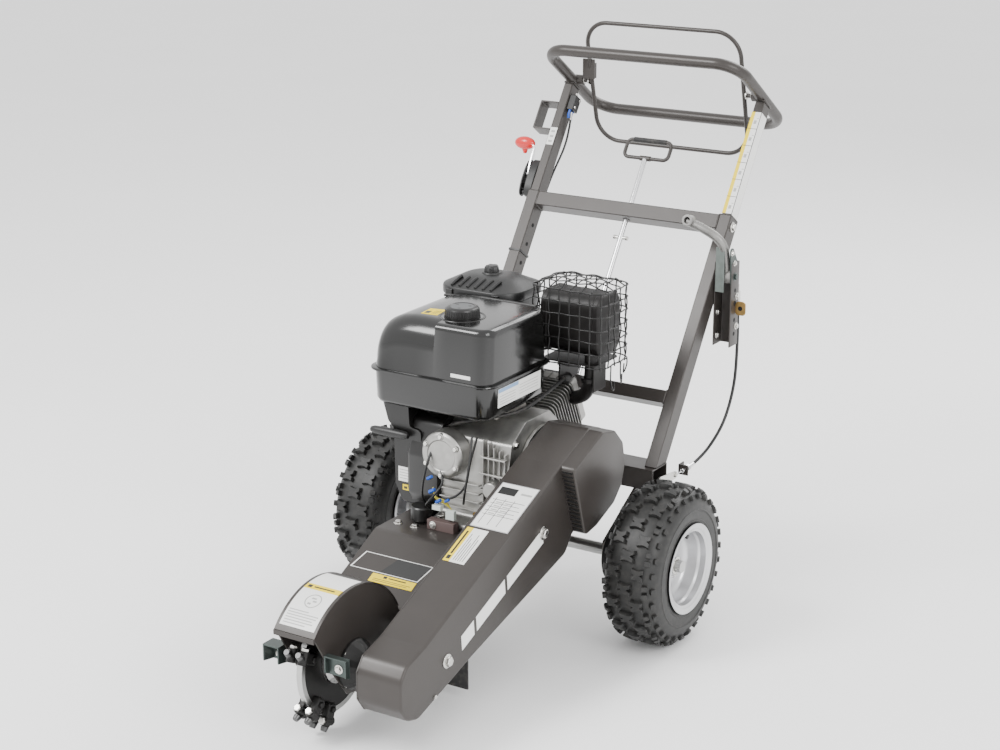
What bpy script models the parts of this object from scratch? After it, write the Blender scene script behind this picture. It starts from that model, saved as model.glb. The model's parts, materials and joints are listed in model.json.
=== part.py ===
"""Walk-behind stump grinder, built as separate pieces in metres with +Z up.

+X is the belt side, -Y is the cutter end and +Y the operator's end. Lengths along Y are
given from the wheel axle; AXLE_Y then shifts everything so that the origin lies under
the middle of the machine, on the ground.
"""
import math

import bmesh
import bpy
from mathutils import Matrix, Vector

# ---------------------------------------------------------------- driving dimensions
GAP = 0.0003                    # clearance left between pieces that touch
AXLE_Y = 0.0365                 # from the middle of the machine to the wheel axle

# wheels: 13 x 5.00-6 tyres on 6 inch rims
TYRE_RADIUS = 0.165
WHEEL_X = 0.3265                # middle plane of each wheel
BEAD_RADIUS = 0.0755            # seat of the tyre on the rim
FLANGE_RADIUS = 0.0923
AXLE_RADIUS = 0.0125
BORE_RADIUS = 0.0129            # holes that run on the axle and the cutter shaft
AXLE_Z = TYRE_RADIUS

# leaning handle frame: its front plane passes LEAN_Y behind the axle at ground level
LEAN = math.radians(33.9)
LEAN_Y = -0.1042
UPRIGHT_IN = 0.2226             # inner and outer faces of the 27 x 41 mm tubes
UPRIGHT_OUT = 0.2496
TUBE_DEPTH = 0.0407
TUBE_WALL = 0.0025
BEAM_TOP = 0.3155
BEAM_LOW = 0.2705
BEAM_FRONT = 0.0950
BEAM_BACK = 0.1580
UPPER_BAR = (0.9133, 0.9458)    # crossbars, measured along the lean
LOWER_BAR = (0.5200, 0.5480)
ROD_END = 0.4700                # lower end of the pull rod, and the collar near it
ROD_COLLAR = (0.4705, 0.4790)
SLEEVE_TOP = 0.9470
INSERT_LOW = 0.8000
LOOP_S = 1.2230                 # height of the handle loop along the lean
LOOP_D = (-0.1404, 0.1524)
LOOP_X = 0.2340
LOOP_CORNER = 0.0550
LOOP_RADIUS = 0.0125

# operator presence bail
BAIL_PIVOT = (0.5950, 1.0090)
BAIL_TOP = (0.5605, 1.1460)
BAIL_LOW = (0.6295, 0.8720)
BAIL_X = 0.1880
BAIL_RADIUS = 0.0048

# cutter
CUTTER_Y = -0.6600
CUTTER_Z = 0.1370
DISC_RADIUS = 0.1050
TOOTH_RADIUS = 0.1355
TOOTH_COUNT = 8
TOOTH_TURN = 234.5              # middle of the first pair of tooth blocks, in degrees
TOOTH_SPREAD = 13.0             # from a pair's middle to each of its blocks, in degrees
HOOD_CENTRE = (-0.6550, 0.1300)
HOOD_RADIUS = 0.1520
HOOD_X = (0.0400, 0.0440)       # inner and outer faces of the hood's side plates
HINGE_ANGLE = 18.0              # where the cover's hinge lies on the hood's circle
LIP_DROP = 0.0100               # how far the cover's front lip hangs down, clear of the teeth

# deck, engine and drive
DECK_TOP = 0.2393
DECK_BEND = -0.3040
DECK_FRONT = -0.4900
DECK_SLOPE = 0.5000
DECK_X = (-0.1600, 0.1040)
ARM_UNDERSIDE = [(-0.2800, 0.1950), (-0.4950, 0.0780)]
CRANK_Y = -0.0750
CRANK_Z = 0.3450
ENGINE_BASE = DECK_TOP + GAP
PTO_FACE = 0.0850
CYLINDER_TILT = math.radians(25)
GUARD_X = (0.1076, 0.2006)
BULGE_X = 0.2310
SHEET = 0.0020
CRANK_PULLEY = 0.0360           # groove floors of the two belt pulleys
CUTTER_PULLEY = 0.0430
BELT_CLEARANCE = 0.0010
BELT_THICK = 0.0070
BELT_X = (0.1280, 0.1520)

GUARD_OUTLINE = [
    (-0.682, 0.074), (-0.715, 0.084), (-0.735, 0.112), (-0.735, 0.165), (-0.715, 0.190),
    (-0.658, 0.206), (-0.190, 0.404), (-0.080, 0.447), (-0.030, 0.436), (0.003, 0.403),
    (0.014, 0.355), (0.001, 0.312), (-0.030, 0.282), (-0.100, 0.256), (-0.144, 0.249),
    (-0.167, 0.215), (-0.506, 0.127),
]
BULGE_OUTLINE = [
    (-0.193, 0.4005), (-0.080, 0.4455), (-0.0305, 0.435), (0.002, 0.4025), (0.013, 0.355),
    (0.000, 0.3125), (-0.0305, 0.283), (-0.100, 0.257), (-0.144, 0.250),
]

# ---------------------------------------------------------------- colours
COLOURS = {
    "frame_paint": ((0.115, 0.098, 0.090), 0.45, 0.3),
    "rubber": ((0.012, 0.012, 0.012), 0.85, 0.0),
    "rim_silver": ((0.55, 0.55, 0.56), 0.35, 0.9),
    "bare_steel": ((0.42, 0.42, 0.42), 0.35, 1.0),
    "black_paint": ((0.014, 0.014, 0.014), 0.4, 0.2),
    "black_plastic": ((0.012, 0.012, 0.012), 0.55, 0.0),
    "cast_aluminium": ((0.40, 0.40, 0.39), 0.5, 0.9),
    "chrome": ((0.75, 0.75, 0.76), 0.12, 1.0),
    "cast_steel": ((0.06, 0.06, 0.06), 0.6, 0.6),
    "cast_zinc": ((0.20, 0.20, 0.19), 0.5, 0.7),
}


# ---------------------------------------------------------------- modelling tools
def clear_scene():
    """Remove every object that the scene starts with."""
    for found in list(bpy.data.objects):
        bpy.data.objects.remove(found, do_unlink=True)


def material(name):
    """Return a new principled material in one of the part's colours."""
    colour, roughness, metallic = COLOURS[name]
    made = bpy.data.materials.new(name)
    made.use_nodes = True
    shader = made.node_tree.nodes["Principled BSDF"]
    shader.inputs["Base Color"].default_value = (*colour, 1.0)
    shader.inputs["Roughness"].default_value = roughness
    shader.inputs["Metallic"].default_value = metallic
    return made


def add_object(name, mesh, colour=None):
    """Link a mesh to the scene under a name, with its own material."""
    made = bpy.data.objects.new(name, mesh)
    bpy.context.scene.collection.objects.link(made)
    if colour:
        made.data.materials.append(material(colour))
    return made


def finish_mesh(name, bm, colour):
    """Turn a bmesh into an object whose faces point out."""
    bmesh.ops.recalc_face_normals(bm, faces=bm.faces)
    mesh = bpy.data.meshes.new(name)
    bm.to_mesh(mesh)
    bm.free()
    mesh.shade_smooth()
    mesh.set_sharp_from_angle(angle=math.radians(35))
    return add_object(name, mesh, colour)


def on_axis(axis, along, first, second):
    """Place a point from its distance along an axis and its two coordinates across it."""
    if axis == "X":
        return Vector((along, first, second))
    if axis == "Y":
        return Vector((first, along, second))
    return Vector((first, second, along))


def loft(name, sections, axis, colour):
    """Join closed outlines, given as (distance along the axis, outline), into one solid."""
    bm = bmesh.new()
    rings = []
    for along, outline in sections:
        rings.append([bm.verts.new(on_axis(axis, along, a, b)) for a, b in outline])
    bm.faces.new(rings[0])
    bm.faces.new(rings[-1])
    count = len(rings[0])
    for low, high in zip(rings[:-1], rings[1:]):
        for i in range(count):
            j = (i + 1) % count
            bm.faces.new((low[i], low[j], high[j], high[i]))
    return finish_mesh(name, bm, colour)


def prism(name, outline, axis, low, high, colour):
    """Extrude a closed outline along an axis, from low to high."""
    return loft(name, [(low, outline), (high, outline)], axis, colour)


def box(name, low, high, colour):
    """Make a plain block between two corners."""
    outline = [(low[0], low[1]), (high[0], low[1]), (high[0], high[1]), (low[0], high[1])]
    return prism(name, outline, "Z", low[2], high[2], colour)


def turned(name, profile, centre, axis, colour, steps=20):
    """Turn a profile of (distance along the axis, radius) points into a round solid."""
    bm = bmesh.new()
    rings = []
    for along, radius in profile:
        ring = []
        if radius == 0.0:
            ring.append(bm.verts.new(on_axis(axis, along, *centre)))
        else:
            for k in range(steps):
                angle = 2 * math.pi * k / steps
                across = (centre[0] + radius * math.cos(angle), centre[1] + radius * math.sin(angle))
                ring.append(bm.verts.new(on_axis(axis, along, *across)))
        rings.append(ring)
    closed = profile[0][1] > 0.0 or profile[-1][1] > 0.0
    pairs = list(zip(rings[:-1], rings[1:]))
    if closed:
        pairs.append((rings[-1], rings[0]))
    for low, high in pairs:
        for k in range(steps):
            j = (k + 1) % steps
            if len(low) == 1:
                bm.faces.new((low[0], high[j], high[k]))
            elif len(high) == 1:
                bm.faces.new((low[k], low[j], high[0]))
            else:
                bm.faces.new((low[k], low[j], high[j], high[k]))
    return finish_mesh(name, bm, colour)


def rod(name, points, radius, colour, closed=False, sides=2):
    """Sweep a round rod along points, closed on itself or with flat ends."""
    curve = bpy.data.curves.new(name, "CURVE")
    curve.dimensions = "3D"
    curve.bevel_depth = radius
    curve.bevel_resolution = sides
    curve.use_fill_caps = True
    spline = curve.splines.new("POLY")
    spline.points.add(len(points) - 1)
    for target, point in zip(spline.points, points):
        target.co = (*point, 1.0)
    spline.use_cyclic_u = closed
    guide = bpy.data.objects.new(name + "_guide", curve)
    bpy.context.scene.collection.objects.link(guide)
    bpy.context.view_layer.update()
    graph = bpy.context.evaluated_depsgraph_get()
    mesh = bpy.data.meshes.new_from_object(guide.evaluated_get(graph))
    bpy.data.objects.remove(guide, do_unlink=True)
    bm = bmesh.new()
    bm.from_mesh(mesh)
    bpy.data.meshes.remove(mesh)
    bmesh.ops.remove_doubles(bm, verts=bm.verts, dist=0.00001)
    return finish_mesh(name, bm, colour)


def combine(target, others, operation):
    """Join others to target, or cut them from it, and remove them."""
    for other in others:
        step = target.modifiers.new("combine", "BOOLEAN")
        step.operation = operation
        step.solver = "EXACT"
        step.object = other
    bpy.context.view_layer.update()
    graph = bpy.context.evaluated_depsgraph_get()
    mesh = bpy.data.meshes.new_from_object(target.evaluated_get(graph))
    target.modifiers.clear()
    target.data = mesh
    for other in others:
        bpy.data.objects.remove(other, do_unlink=True)
    return target


def set_origin(target, point):
    """Move an object's origin onto its joint's axis without moving the piece."""
    offset = Vector(point)
    target.data.transform(Matrix.Translation(-offset))
    target.location = offset
    return target


def inset(outline, distance):
    """Move every side of a closed outline inwards by a distance."""
    moved = []
    count = len(outline)
    area = sum(
        outline[i][0] * outline[(i + 1) % count][1] - outline[(i + 1) % count][0] * outline[i][1]
        for i in range(count)
    )
    side = 1.0 if area > 0 else -1.0
    for i in range(count):
        before = Vector(outline[i - 1])
        here = Vector(outline[i])
        after = Vector(outline[(i + 1) % count])
        first = (here - before).normalized()
        second = (after - here).normalized()
        normal_a = Vector((-first.y, first.x)) * side
        normal_b = Vector((-second.y, second.x)) * side
        middle = (normal_a + normal_b).normalized()
        reach = distance / max(middle.dot(normal_a), 0.3)
        moved.append(tuple(here + middle * reach))
    return moved


def rounded(low, high, corner, steps=4):
    """Return a rectangle with round corners as a closed outline."""
    centres = [
        (high[0] - corner, high[1] - corner, 0), (low[0] + corner, high[1] - corner, 90),
        (low[0] + corner, low[1] + corner, 180), (high[0] - corner, low[1] + corner, 270),
    ]
    outline = []
    for x, y, start in centres:
        for k in range(steps + 1):
            angle = math.radians(start + 90 * k / steps)
            outline.append((x + corner * math.cos(angle), y + corner * math.sin(angle)))
    return outline


def arc(centre, radius, start, end, steps):
    """Return points along an arc, with its angles in degrees."""
    points = []
    for k in range(steps + 1):
        angle = math.radians(start + (end - start) * k / steps)
        points.append((centre[0] + radius * math.cos(angle), centre[1] + radius * math.sin(angle)))
    return points


def smooth_path(points, spacing):
    """Read evenly spaced points from a smooth curve through the route's own points."""
    route = [Vector(p) for p in points]
    ends = [2 * route[0] - route[1], *route, 2 * route[-1] - route[-2]]
    path = []
    for i in range(1, len(ends) - 2):
        before, start, end, after = ends[i - 1:i + 3]
        count = max(1, round((end - start).length / spacing))
        for k in range(count):
            t = k / count
            path.append(0.5 * (
                2 * start + (end - before) * t
                + (2 * before - 5 * start + 4 * end - after) * t ** 2
                + (3 * start - before - 3 * end + after) * t ** 3
            ))
    path.append(route[-1])
    return path


def leaning(x, along, depth):
    """Place a point by its distance along the lean and its depth behind the front plane."""
    y = LEAN_Y + along * math.sin(LEAN) + depth * math.cos(LEAN)
    z = along * math.cos(LEAN) - depth * math.sin(LEAN)
    return (x, y, z)


def lean_tube(name, low, high, wall, colour):
    """Make a rectangular tube along X, open at its ends, square to the lean."""
    (x0, s0, d0), (x1, s1, d1) = low, high
    outer = [leaning(0, s, d)[1:] for s, d in ((s0, d0), (s0, d1), (s1, d1), (s1, d0))]
    inner = [
        leaning(0, s, d)[1:] for s, d in (
            (s0 + wall, d0 + wall), (s0 + wall, d1 - wall), (s1 - wall, d1 - wall), (s1 - wall, d0 + wall))
    ]
    tube = prism(name, outer, "X", x0, x1, colour)
    hole = prism("hole", inner, "X", x0 - 0.01, x1 + 0.01, None)
    return combine(tube, [hole], "DIFFERENCE")


# ---------------------------------------------------------------- wheels and axle
def make_wheel(side, word):
    """Make one tyre and its rim, with the dish facing outwards."""
    half_tyre = [
        (0.0000, 0.1650), (0.0400, 0.1620), (0.0570, 0.1480), (0.0625, 0.1250), (0.0598, 0.0935),
        (0.0565, 0.0768), (0.0465, 0.0768), (0.0530, 0.1250), (0.0440, 0.1480), (0.0000, 0.1560),
    ]
    profile = [(x, r) for x, r in half_tyre] + [(-x, r) for x, r in half_tyre[-2:0:-1]]
    centre = side * WHEEL_X
    tyre = turned("tyre_" + word, [(centre + x, r) for x, r in profile], (0, AXLE_Z), "X", "rubber", 24)
    dish = [
        (-0.0450, BORE_RADIUS), (0.0300, BORE_RADIUS), (0.0300, 0.0220), (0.0040, 0.0220),
        (0.0120, 0.0700), (0.0580, 0.0725), (0.0640, 0.0780),
        (0.0645, FLANGE_RADIUS), (0.0618, FLANGE_RADIUS), (0.0615, 0.0790), (0.0590, BEAD_RADIUS),
        (-0.0590, BEAD_RADIUS), (-0.0615, 0.0790), (-0.0618, FLANGE_RADIUS),
        (-0.0645, FLANGE_RADIUS), (-0.0640, 0.0780), (-0.0580, 0.0725), (0.0080, 0.0725),
        (0.0000, 0.0220), (-0.0450, 0.0220),
    ]
    points = [(centre + side * x, r) for x, r in dish]
    rim = turned("rim_" + word, points, (0, AXLE_Z), "X", "rim_silver")
    for piece in (tyre, rim):
        set_origin(piece, (centre, 0, AXLE_Z))


def make_axle():
    """Make the axle, its two hanger plates and the cross beam above them."""
    length = WHEEL_X + 0.0450
    turned("axle", [(-length, 0), (-length, AXLE_RADIUS), (length, AXLE_RADIUS), (length, 0)],
           (0, AXLE_Z), "X", "bare_steel")
    hanger = [
        (-0.030, 0.150), (-0.020, 0.138), (0.020, 0.138), (0.035, 0.150), (BEAM_BACK - 0.002, BEAM_LOW - GAP),
        (BEAM_FRONT + 0.002, BEAM_LOW - GAP), (-0.030, 0.195),
    ]
    for side, word in ((-1, "left"), (1, "right")):
        faces = sorted((side * 0.2050, side * 0.2110))
        plate = prism("axle_hanger_" + word, hanger, "X", faces[0], faces[1], "frame_paint")
        hole = turned("hole", [(-0.3, 0), (-0.3, BORE_RADIUS), (0.3, BORE_RADIUS), (0.3, 0)],
                      (0, AXLE_Z), "X", None)
        combine(plate, [hole], "DIFFERENCE")
    outer = [(BEAM_FRONT, BEAM_LOW), (BEAM_BACK, BEAM_LOW), (BEAM_BACK, BEAM_TOP), (BEAM_FRONT, BEAM_TOP)]
    beam = prism("cross_beam", outer, "X", -UPRIGHT_OUT, UPRIGHT_OUT, "frame_paint")
    hole = prism("hole", inset(outer, 0.003), "X", -0.3, 0.3, None)
    combine(beam, [hole], "DIFFERENCE")


def make_brake():
    """Make the parking brake: lever, its channel, cable, arm and drum."""
    profile = [
        (0.2160, BORE_RADIUS), (0.2812, BORE_RADIUS), (0.2812, 0.0220), (0.2500, 0.0220),
        (0.2500, 0.0550), (0.2160, 0.0550),
    ]
    drum = turned("brake_drum", profile, (0, AXLE_Z), "X", "cast_steel")
    set_origin(drum, (WHEEL_X, 0, AXLE_Z))
    channel = [
        (0.2499, 0.3500), (0.2529, 0.3500), (0.2529, 0.3850), (0.2870, 0.3850), (0.2870, 0.3500),
        (0.2900, 0.3500), (0.2900, 0.3880), (0.2499, 0.3880),
    ]
    prism("brake_channel", channel, "Z", 0.5200, 0.7000, "frame_paint")
    pivot = (0.2700, 0.3660, 0.6700)
    path = smooth_path(
        [(0.2700, 0.3660, 0.6560), (0.2700, 0.3590, 0.7050), (0.2640, 0.3500, 0.7380),
         (0.2430, 0.3430, 0.7540), (0.2120, 0.3410, 0.7580), (0.1800, 0.3420, 0.7620)], 0.012)
    lever = rod("brake_lever", path, 0.0115, "cast_zinc")
    hub = turned("hub", [(0.2535, 0), (0.2535, 0.0150), (0.2864, 0.0150), (0.2864, 0)],
                 pivot[1:], "X", None)
    combine(lever, [hub], "UNION")
    set_origin(lever, pivot)
    route = [
        (0.2850, 0.3960, 0.6000), (0.2850, 0.3990, 0.5200), (0.2840, 0.3920, 0.4300),
        (0.2800, 0.3600, 0.3580), (0.2740, 0.3080, 0.3140), (0.2680, 0.2520, 0.2920), (0.2620, 0.2020, 0.2850),
    ]
    rod("brake_cable", smooth_path(route, 0.018), 0.0035, "black_plastic", sides=1)
    arm_pivot = (0.2540, 0.1200, 0.2850)
    outline = arc((0.1200, 0.2850), 0.0110, 90, 270, 8) + arc((0.1850, 0.2800), 0.0080, -90, 90, 6)
    arm = prism("brake_arm", outline, "X", 0.2520, 0.2560, "bare_steel")
    set_origin(arm, arm_pivot)


# ---------------------------------------------------------------- handle frame
def lean_post(name, side, low, high, shrink, colour):
    """Make one leaning upright tube; shrink makes it small enough to slide in another."""
    inner_x = UPRIGHT_IN + shrink
    outer_x = UPRIGHT_OUT - shrink
    near = shrink
    far = TUBE_DEPTH - shrink
    bm = bmesh.new()
    rings = []
    for wall in (0.0, TUBE_WALL):
        corners = [
            (side * (inner_x + wall), near + wall), (side * (outer_x - wall), near + wall),
            (side * (outer_x - wall), far - wall), (side * (inner_x + wall), far - wall),
        ]
        for end in (low, high):
            rings.append([bm.verts.new(leaning(x, end(d), d)) for x, d in corners])
    outer_low, outer_high, inner_low, inner_high = rings
    for i in range(4):
        j = (i + 1) % 4
        bm.faces.new((outer_low[i], outer_low[j], outer_high[j], outer_high[i]))
        bm.faces.new((inner_low[i], inner_low[j], inner_high[j], inner_high[i]))
        bm.faces.new((outer_low[i], outer_low[j], inner_low[j], inner_low[i]))
        bm.faces.new((outer_high[i], outer_high[j], inner_high[j], inner_high[i]))
    return finish_mesh(name, bm, colour)


def make_handle_frame():
    """Make the sleeves, crossbars, sliding tubes and the closed handle loop."""
    def on_beam(depth):
        return (BEAM_TOP + GAP + depth * math.sin(LEAN)) / math.cos(LEAN)

    for side, word in ((-1, "left"), (1, "right")):
        lean_post("upright_" + word, side, on_beam, lambda depth: SLEEVE_TOP, 0.0, "frame_paint")
        lean_post("handle_tube_" + word, side, lambda depth: INSERT_LOW,
                  lambda depth: LOOP_S - LOOP_RADIUS - GAP, TUBE_WALL + GAP, "frame_paint")
    rod_hole_radius = 0.0068
    for word, span in (("upper", UPPER_BAR), ("lower", LOWER_BAR)):
        edge = UPRIGHT_IN - GAP
        bar = lean_tube(word + "_crossbar", (-edge, span[0], 0), (edge, span[1], TUBE_DEPTH),
                        TUBE_WALL, "frame_paint")
        ends = [leaning(0, s, TUBE_DEPTH / 2) for s in (span[0] - 0.02, span[1] + 0.02)]
        combine(bar, [rod("hole", ends, rod_hole_radius, None, sides=4)], "DIFFERENCE")

    def loop_point(x, depth):
        return leaning(x, LOOP_S, depth)

    outline = rounded((-LOOP_X, LOOP_D[0]), (LOOP_X, LOOP_D[1]), LOOP_CORNER, 6)
    loop = rod("handle_loop", [loop_point(x, d) for x, d in outline], LOOP_RADIUS, "frame_paint",
               closed=True, sides=3)
    bushes = []
    for side in (-1, 1):
        ends = sorted((side * 0.2080, side * (LOOP_X - 0.004)))
        profile = [(ends[0], 0.0053), (ends[0], 0.0110), (ends[1], 0.0110), (ends[1], 0.0053)]
        bushes.append(turned("bush", profile, BAIL_PIVOT, "X", None, 16))
    combine(loop, bushes, "UNION")


def make_bail():
    """Make the closed bail and the pins that it turns on."""
    top = Vector(BAIL_TOP)
    low = Vector(BAIL_LOW)
    length = (top - low).length
    step = (low - top).normalized()
    outline = rounded((-BAIL_X, 0), (BAIL_X, length), 0.055, 6)
    points = [(x, (top + step * t).x, (top + step * t).y) for x, t in outline]
    bail = rod("bail", points, BAIL_RADIUS, "black_paint", closed=True, sides=1)
    pins = []
    for side in (-1, 1):
        ends = sorted((side * (BAIL_X - 0.001), side * 0.2180))
        profile = [(ends[0], 0), (ends[0], 0.0048), (ends[1], 0.0048), (ends[1], 0)]
        pins.append(turned("pin", profile, BAIL_PIVOT, "X", None, 16))
    combine(bail, pins, "UNION")
    set_origin(bail, (0, *BAIL_PIVOT))


def make_controls():
    """Make the throttle, the presence switch, the pull rod and the strap bracket."""
    housing = [leaning(0, s, d)[1:] for s, d in ((0.962, 0.002), (0.962, 0.036), (1.022, 0.036), (1.022, 0.002))]
    face = -(UPRIGHT_OUT - TUBE_WALL)
    prism("throttle_housing", housing, "X", -0.2690, face, "black_plastic")
    pivot = leaning(-0.2720, 0.9900, 0.0190)
    strip = [leaning(0, s, d)[1:] for s, d in ((0.980, 0.010), (0.980, 0.028), (1.056, 0.014), (1.056, -0.002))]
    lever = prism("throttle_lever", strip, "X", -0.2735, -0.2700, "chrome")
    knob_centre = leaning(0, 1.055, 0.005)[1:]
    knob = turned("knob", [(-0.3260, 0), (-0.3240, 0.0080), (-0.2960, 0.0100), (-0.2700, 0.0080), (-0.2695, 0)],
                  knob_centre, "X", None, 16)
    combine(lever, [knob], "UNION")
    set_origin(lever, pivot)

    switch = [leaning(0, s, d)[1:] for s, d in ((1.150, 0.008), (1.150, 0.032), (1.185, 0.032), (1.185, 0.008))]
    prism("presence_switch", switch, "X", -(UPRIGHT_IN + TUBE_WALL), -0.2090, "black_plastic")

    strap = [(-0.2920, 1.094), (-0.2471, 1.094), (-0.2471, 1.0975), (-0.2885, 1.0975), (-0.2885, 1.1595),
             (-0.2471, 1.1595), (-0.2471, 1.163), (-0.2920, 1.163)]
    bm = bmesh.new()
    rings = [[bm.verts.new(leaning(x, s, d)) for x, s in strap] for d in (0.003, 0.038)]
    for i in range(len(strap)):
        j = (i + 1) % len(strap)
        bm.faces.new((rings[0][i], rings[0][j], rings[1][j], rings[1][i]))
    bm.faces.new(rings[0])
    bm.faces.new(rings[1])
    finish_mesh("strap_bracket", bm, "frame_paint")

    depth = TUBE_DEPTH / 2
    pull = rod("pull_rod", [leaning(0, s, depth) for s in (ROD_END, 1.0590)], 0.0060, "chrome")
    grip = [leaning(x, s, depth) for x, s in rounded((-0.054, 1.058), (0.054, 1.100), 0.012, 4)]
    handle = rod("grip", grip, 0.0045, None, closed=True)
    stop = rod("stop", [leaning(x, 0.8700, depth) for x in (-0.0175, 0.0175)], 0.0040, None)
    collar = rod("collar", [leaning(0, s, depth) for s in ROD_COLLAR], 0.0100, None)
    combine(pull, [handle, stop, collar], "UNION")
    set_origin(pull, leaning(0, UPPER_BAR[0], depth))

    route = [
        (-0.2590, *leaning(0, 0.9600, 0.019)[1:]), (-0.2580, *leaning(0, 0.9000, 0.022)[1:]),
        (-0.2545, *leaning(0, 0.7800, 0.030)[1:]), (-0.2545, *leaning(0, 0.6200, 0.030)[1:]),
        (-0.2535, 0.2100, 0.4700), (-0.2450, 0.1720, 0.4300), (-0.2100, 0.1500, 0.4300),
        (-0.1650, 0.1380, 0.4550), (-0.1240, 0.1300, 0.4800),
    ]
    rod("throttle_cable", smooth_path(route, 0.016), 0.0025, "black_plastic", sides=1)
    route = [
        (-0.2170, *leaning(0, 1.1480, 0.020)[1:]), (-0.2180, *leaning(0, 1.1150, 0.034)[1:]),
        (-0.2230, *leaning(0, 1.0700, 0.047)[1:]), (-0.2330, *leaning(0, 0.9800, 0.0480)[1:]),
        (-0.2350, *leaning(0, 0.8000, 0.0460)[1:]), (-0.2330, *leaning(0, 0.6200, 0.0470)[1:]),
        (-0.2150, *leaning(0, 0.5000, 0.0400)[1:]), (-0.1900, 0.1450, 0.3950), (-0.1560, 0.1050, 0.3900),
        (-0.1300, 0.0820, 0.3880),
    ]
    rod("switch_cable", smooth_path(route, 0.018), 0.0025, "black_plastic", sides=1)


# ---------------------------------------------------------------- chassis and cutter hood
def deck_height(y):
    """Return the height of the deck's top face at a place along the machine."""
    return DECK_TOP + min(0.0, (y - DECK_BEND) * DECK_SLOPE)


def hinge_point():
    """Return the cover hinge's Y and Z, on the hood's circle."""
    angle = math.radians(HINGE_ANGLE)
    reach = HOOD_RADIUS + 0.0013
    return (HOOD_CENTRE[0] + reach * math.cos(angle), HOOD_CENTRE[1] + reach * math.sin(angle))


def make_chassis():
    """Make the two arm plates, the deck, the hinged cover and the flap."""
    under = 0.0040
    hinge = hinge_point()
    top = [(y, deck_height(y) - under) for y in (DECK_FRONT - 0.0005, DECK_BEND, 0.0330)]
    outline = arc(HOOD_CENTRE, HOOD_RADIUS, 141, 22, 20)
    outline += arc(hinge, 0.0100, 60, -60, 6)
    outline += [(top[0][0], top[0][1]), top[1], top[2], (BEAM_FRONT - GAP, BEAM_TOP - 0.004),
                (BEAM_FRONT - GAP, BEAM_LOW), (0.0000, 0.1980), *ARM_UNDERSIDE,
                (-0.6000, 0.0700), (-0.6800, 0.0830), (-0.7250, 0.1450)]
    shaft_hole = [(-0.1, 0), (-0.1, 0.0260), (0.1, 0.0260), (0.1, 0)]
    pin_hole = [(-0.1, 0), (-0.1, 0.0045), (0.1, 0.0045), (0.1, 0)]
    for side, word in ((-1, "left"), (1, "right")):
        faces = sorted((side * HOOD_X[0], side * HOOD_X[1]))
        plate = prism("arm_plate_" + word, outline, "X", faces[0], faces[1], "frame_paint")
        holes = [turned("hole", shaft_hole, (CUTTER_Y, CUTTER_Z), "X", None),
                 turned("hole", pin_hole, hinge, "X", None, 16)]
        combine(plate, holes, "DIFFERENCE")

    thick = 0.0030
    deck = [(DECK_FRONT, deck_height(DECK_FRONT)), (DECK_BEND, DECK_TOP), (0.0300, DECK_TOP),
            (0.0300, DECK_TOP - thick), (DECK_BEND, DECK_TOP - thick), (DECK_FRONT, deck_height(DECK_FRONT) - thick)]
    prism("deck", deck, "X", DECK_X[0], DECK_X[1], "frame_paint")

    outer = HOOD_RADIUS + GAP + SHEET
    inner = HOOD_RADIUS + GAP
    wide = arc(HOOD_CENTRE, outer, 141, 26, 20) + arc(HOOD_CENTRE, inner, 26, 141, 20)
    narrow = arc(HOOD_CENTRE, outer, 27, 20, 3) + arc(HOOD_CENTRE, inner, 20, 27, 3)
    cover = prism("cutter_cover", wide, "X", -HOOD_X[1] - 0.001, HOOD_X[1] + 0.001, "frame_paint")
    tongue = prism("tongue", narrow, "X", -0.0390, 0.0390, None)
    knuckle = turned("knuckle", [(-0.0390, 0.0045), (-0.0390, 0.0085), (0.0390, 0.0085), (0.0390, 0.0045)],
                     hinge, "X", None, 16)
    lip_y, lip_z = arc(HOOD_CENTRE, outer, 141, 141, 1)[0]
    lip = box("lip", (-HOOD_X[1] - 0.001, lip_y - 0.0020, lip_z - LIP_DROP),
              (HOOD_X[1] + 0.001, lip_y + 0.0012, lip_z), None)
    combine(cover, [tongue, knuckle, lip], "UNION")
    set_origin(cover, (0, *hinge))
    turned("cover_hinge_pin", [(-0.0480, 0), (-0.0480, 0.0040), (0.0480, 0.0040), (0.0480, 0)], hinge,
           "X", "bare_steel", 16)

    for side, word, reach in ((-1, "left", 0.0800), (1, "right", 0.0920)):
        angle = [(HOOD_X[1] + GAP, -0.7350), (HOOD_X[1] + GAP + 0.003, -0.7350), (HOOD_X[1] + GAP + 0.003, -0.7620),
                 (reach, -0.7620), (reach, -0.7650), (HOOD_X[1] + GAP, -0.7650)]
        prism("flap_bracket_" + word, [(side * x, y) for x, y in angle], "Z", 0.1480, 0.1860, "frame_paint")
    (rear_y, rear_z), (front_y, front_z) = ARM_UNDERSIDE
    flap_y = (-0.4450, -0.4410)
    flap_top = front_z + (flap_y[0] - front_y) * (rear_z - front_z) / (rear_y - front_y) - GAP
    box("debris_flap", (-0.1500, flap_y[0], 0.0220), (0.1500, flap_y[1], flap_top), "rubber")


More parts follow.
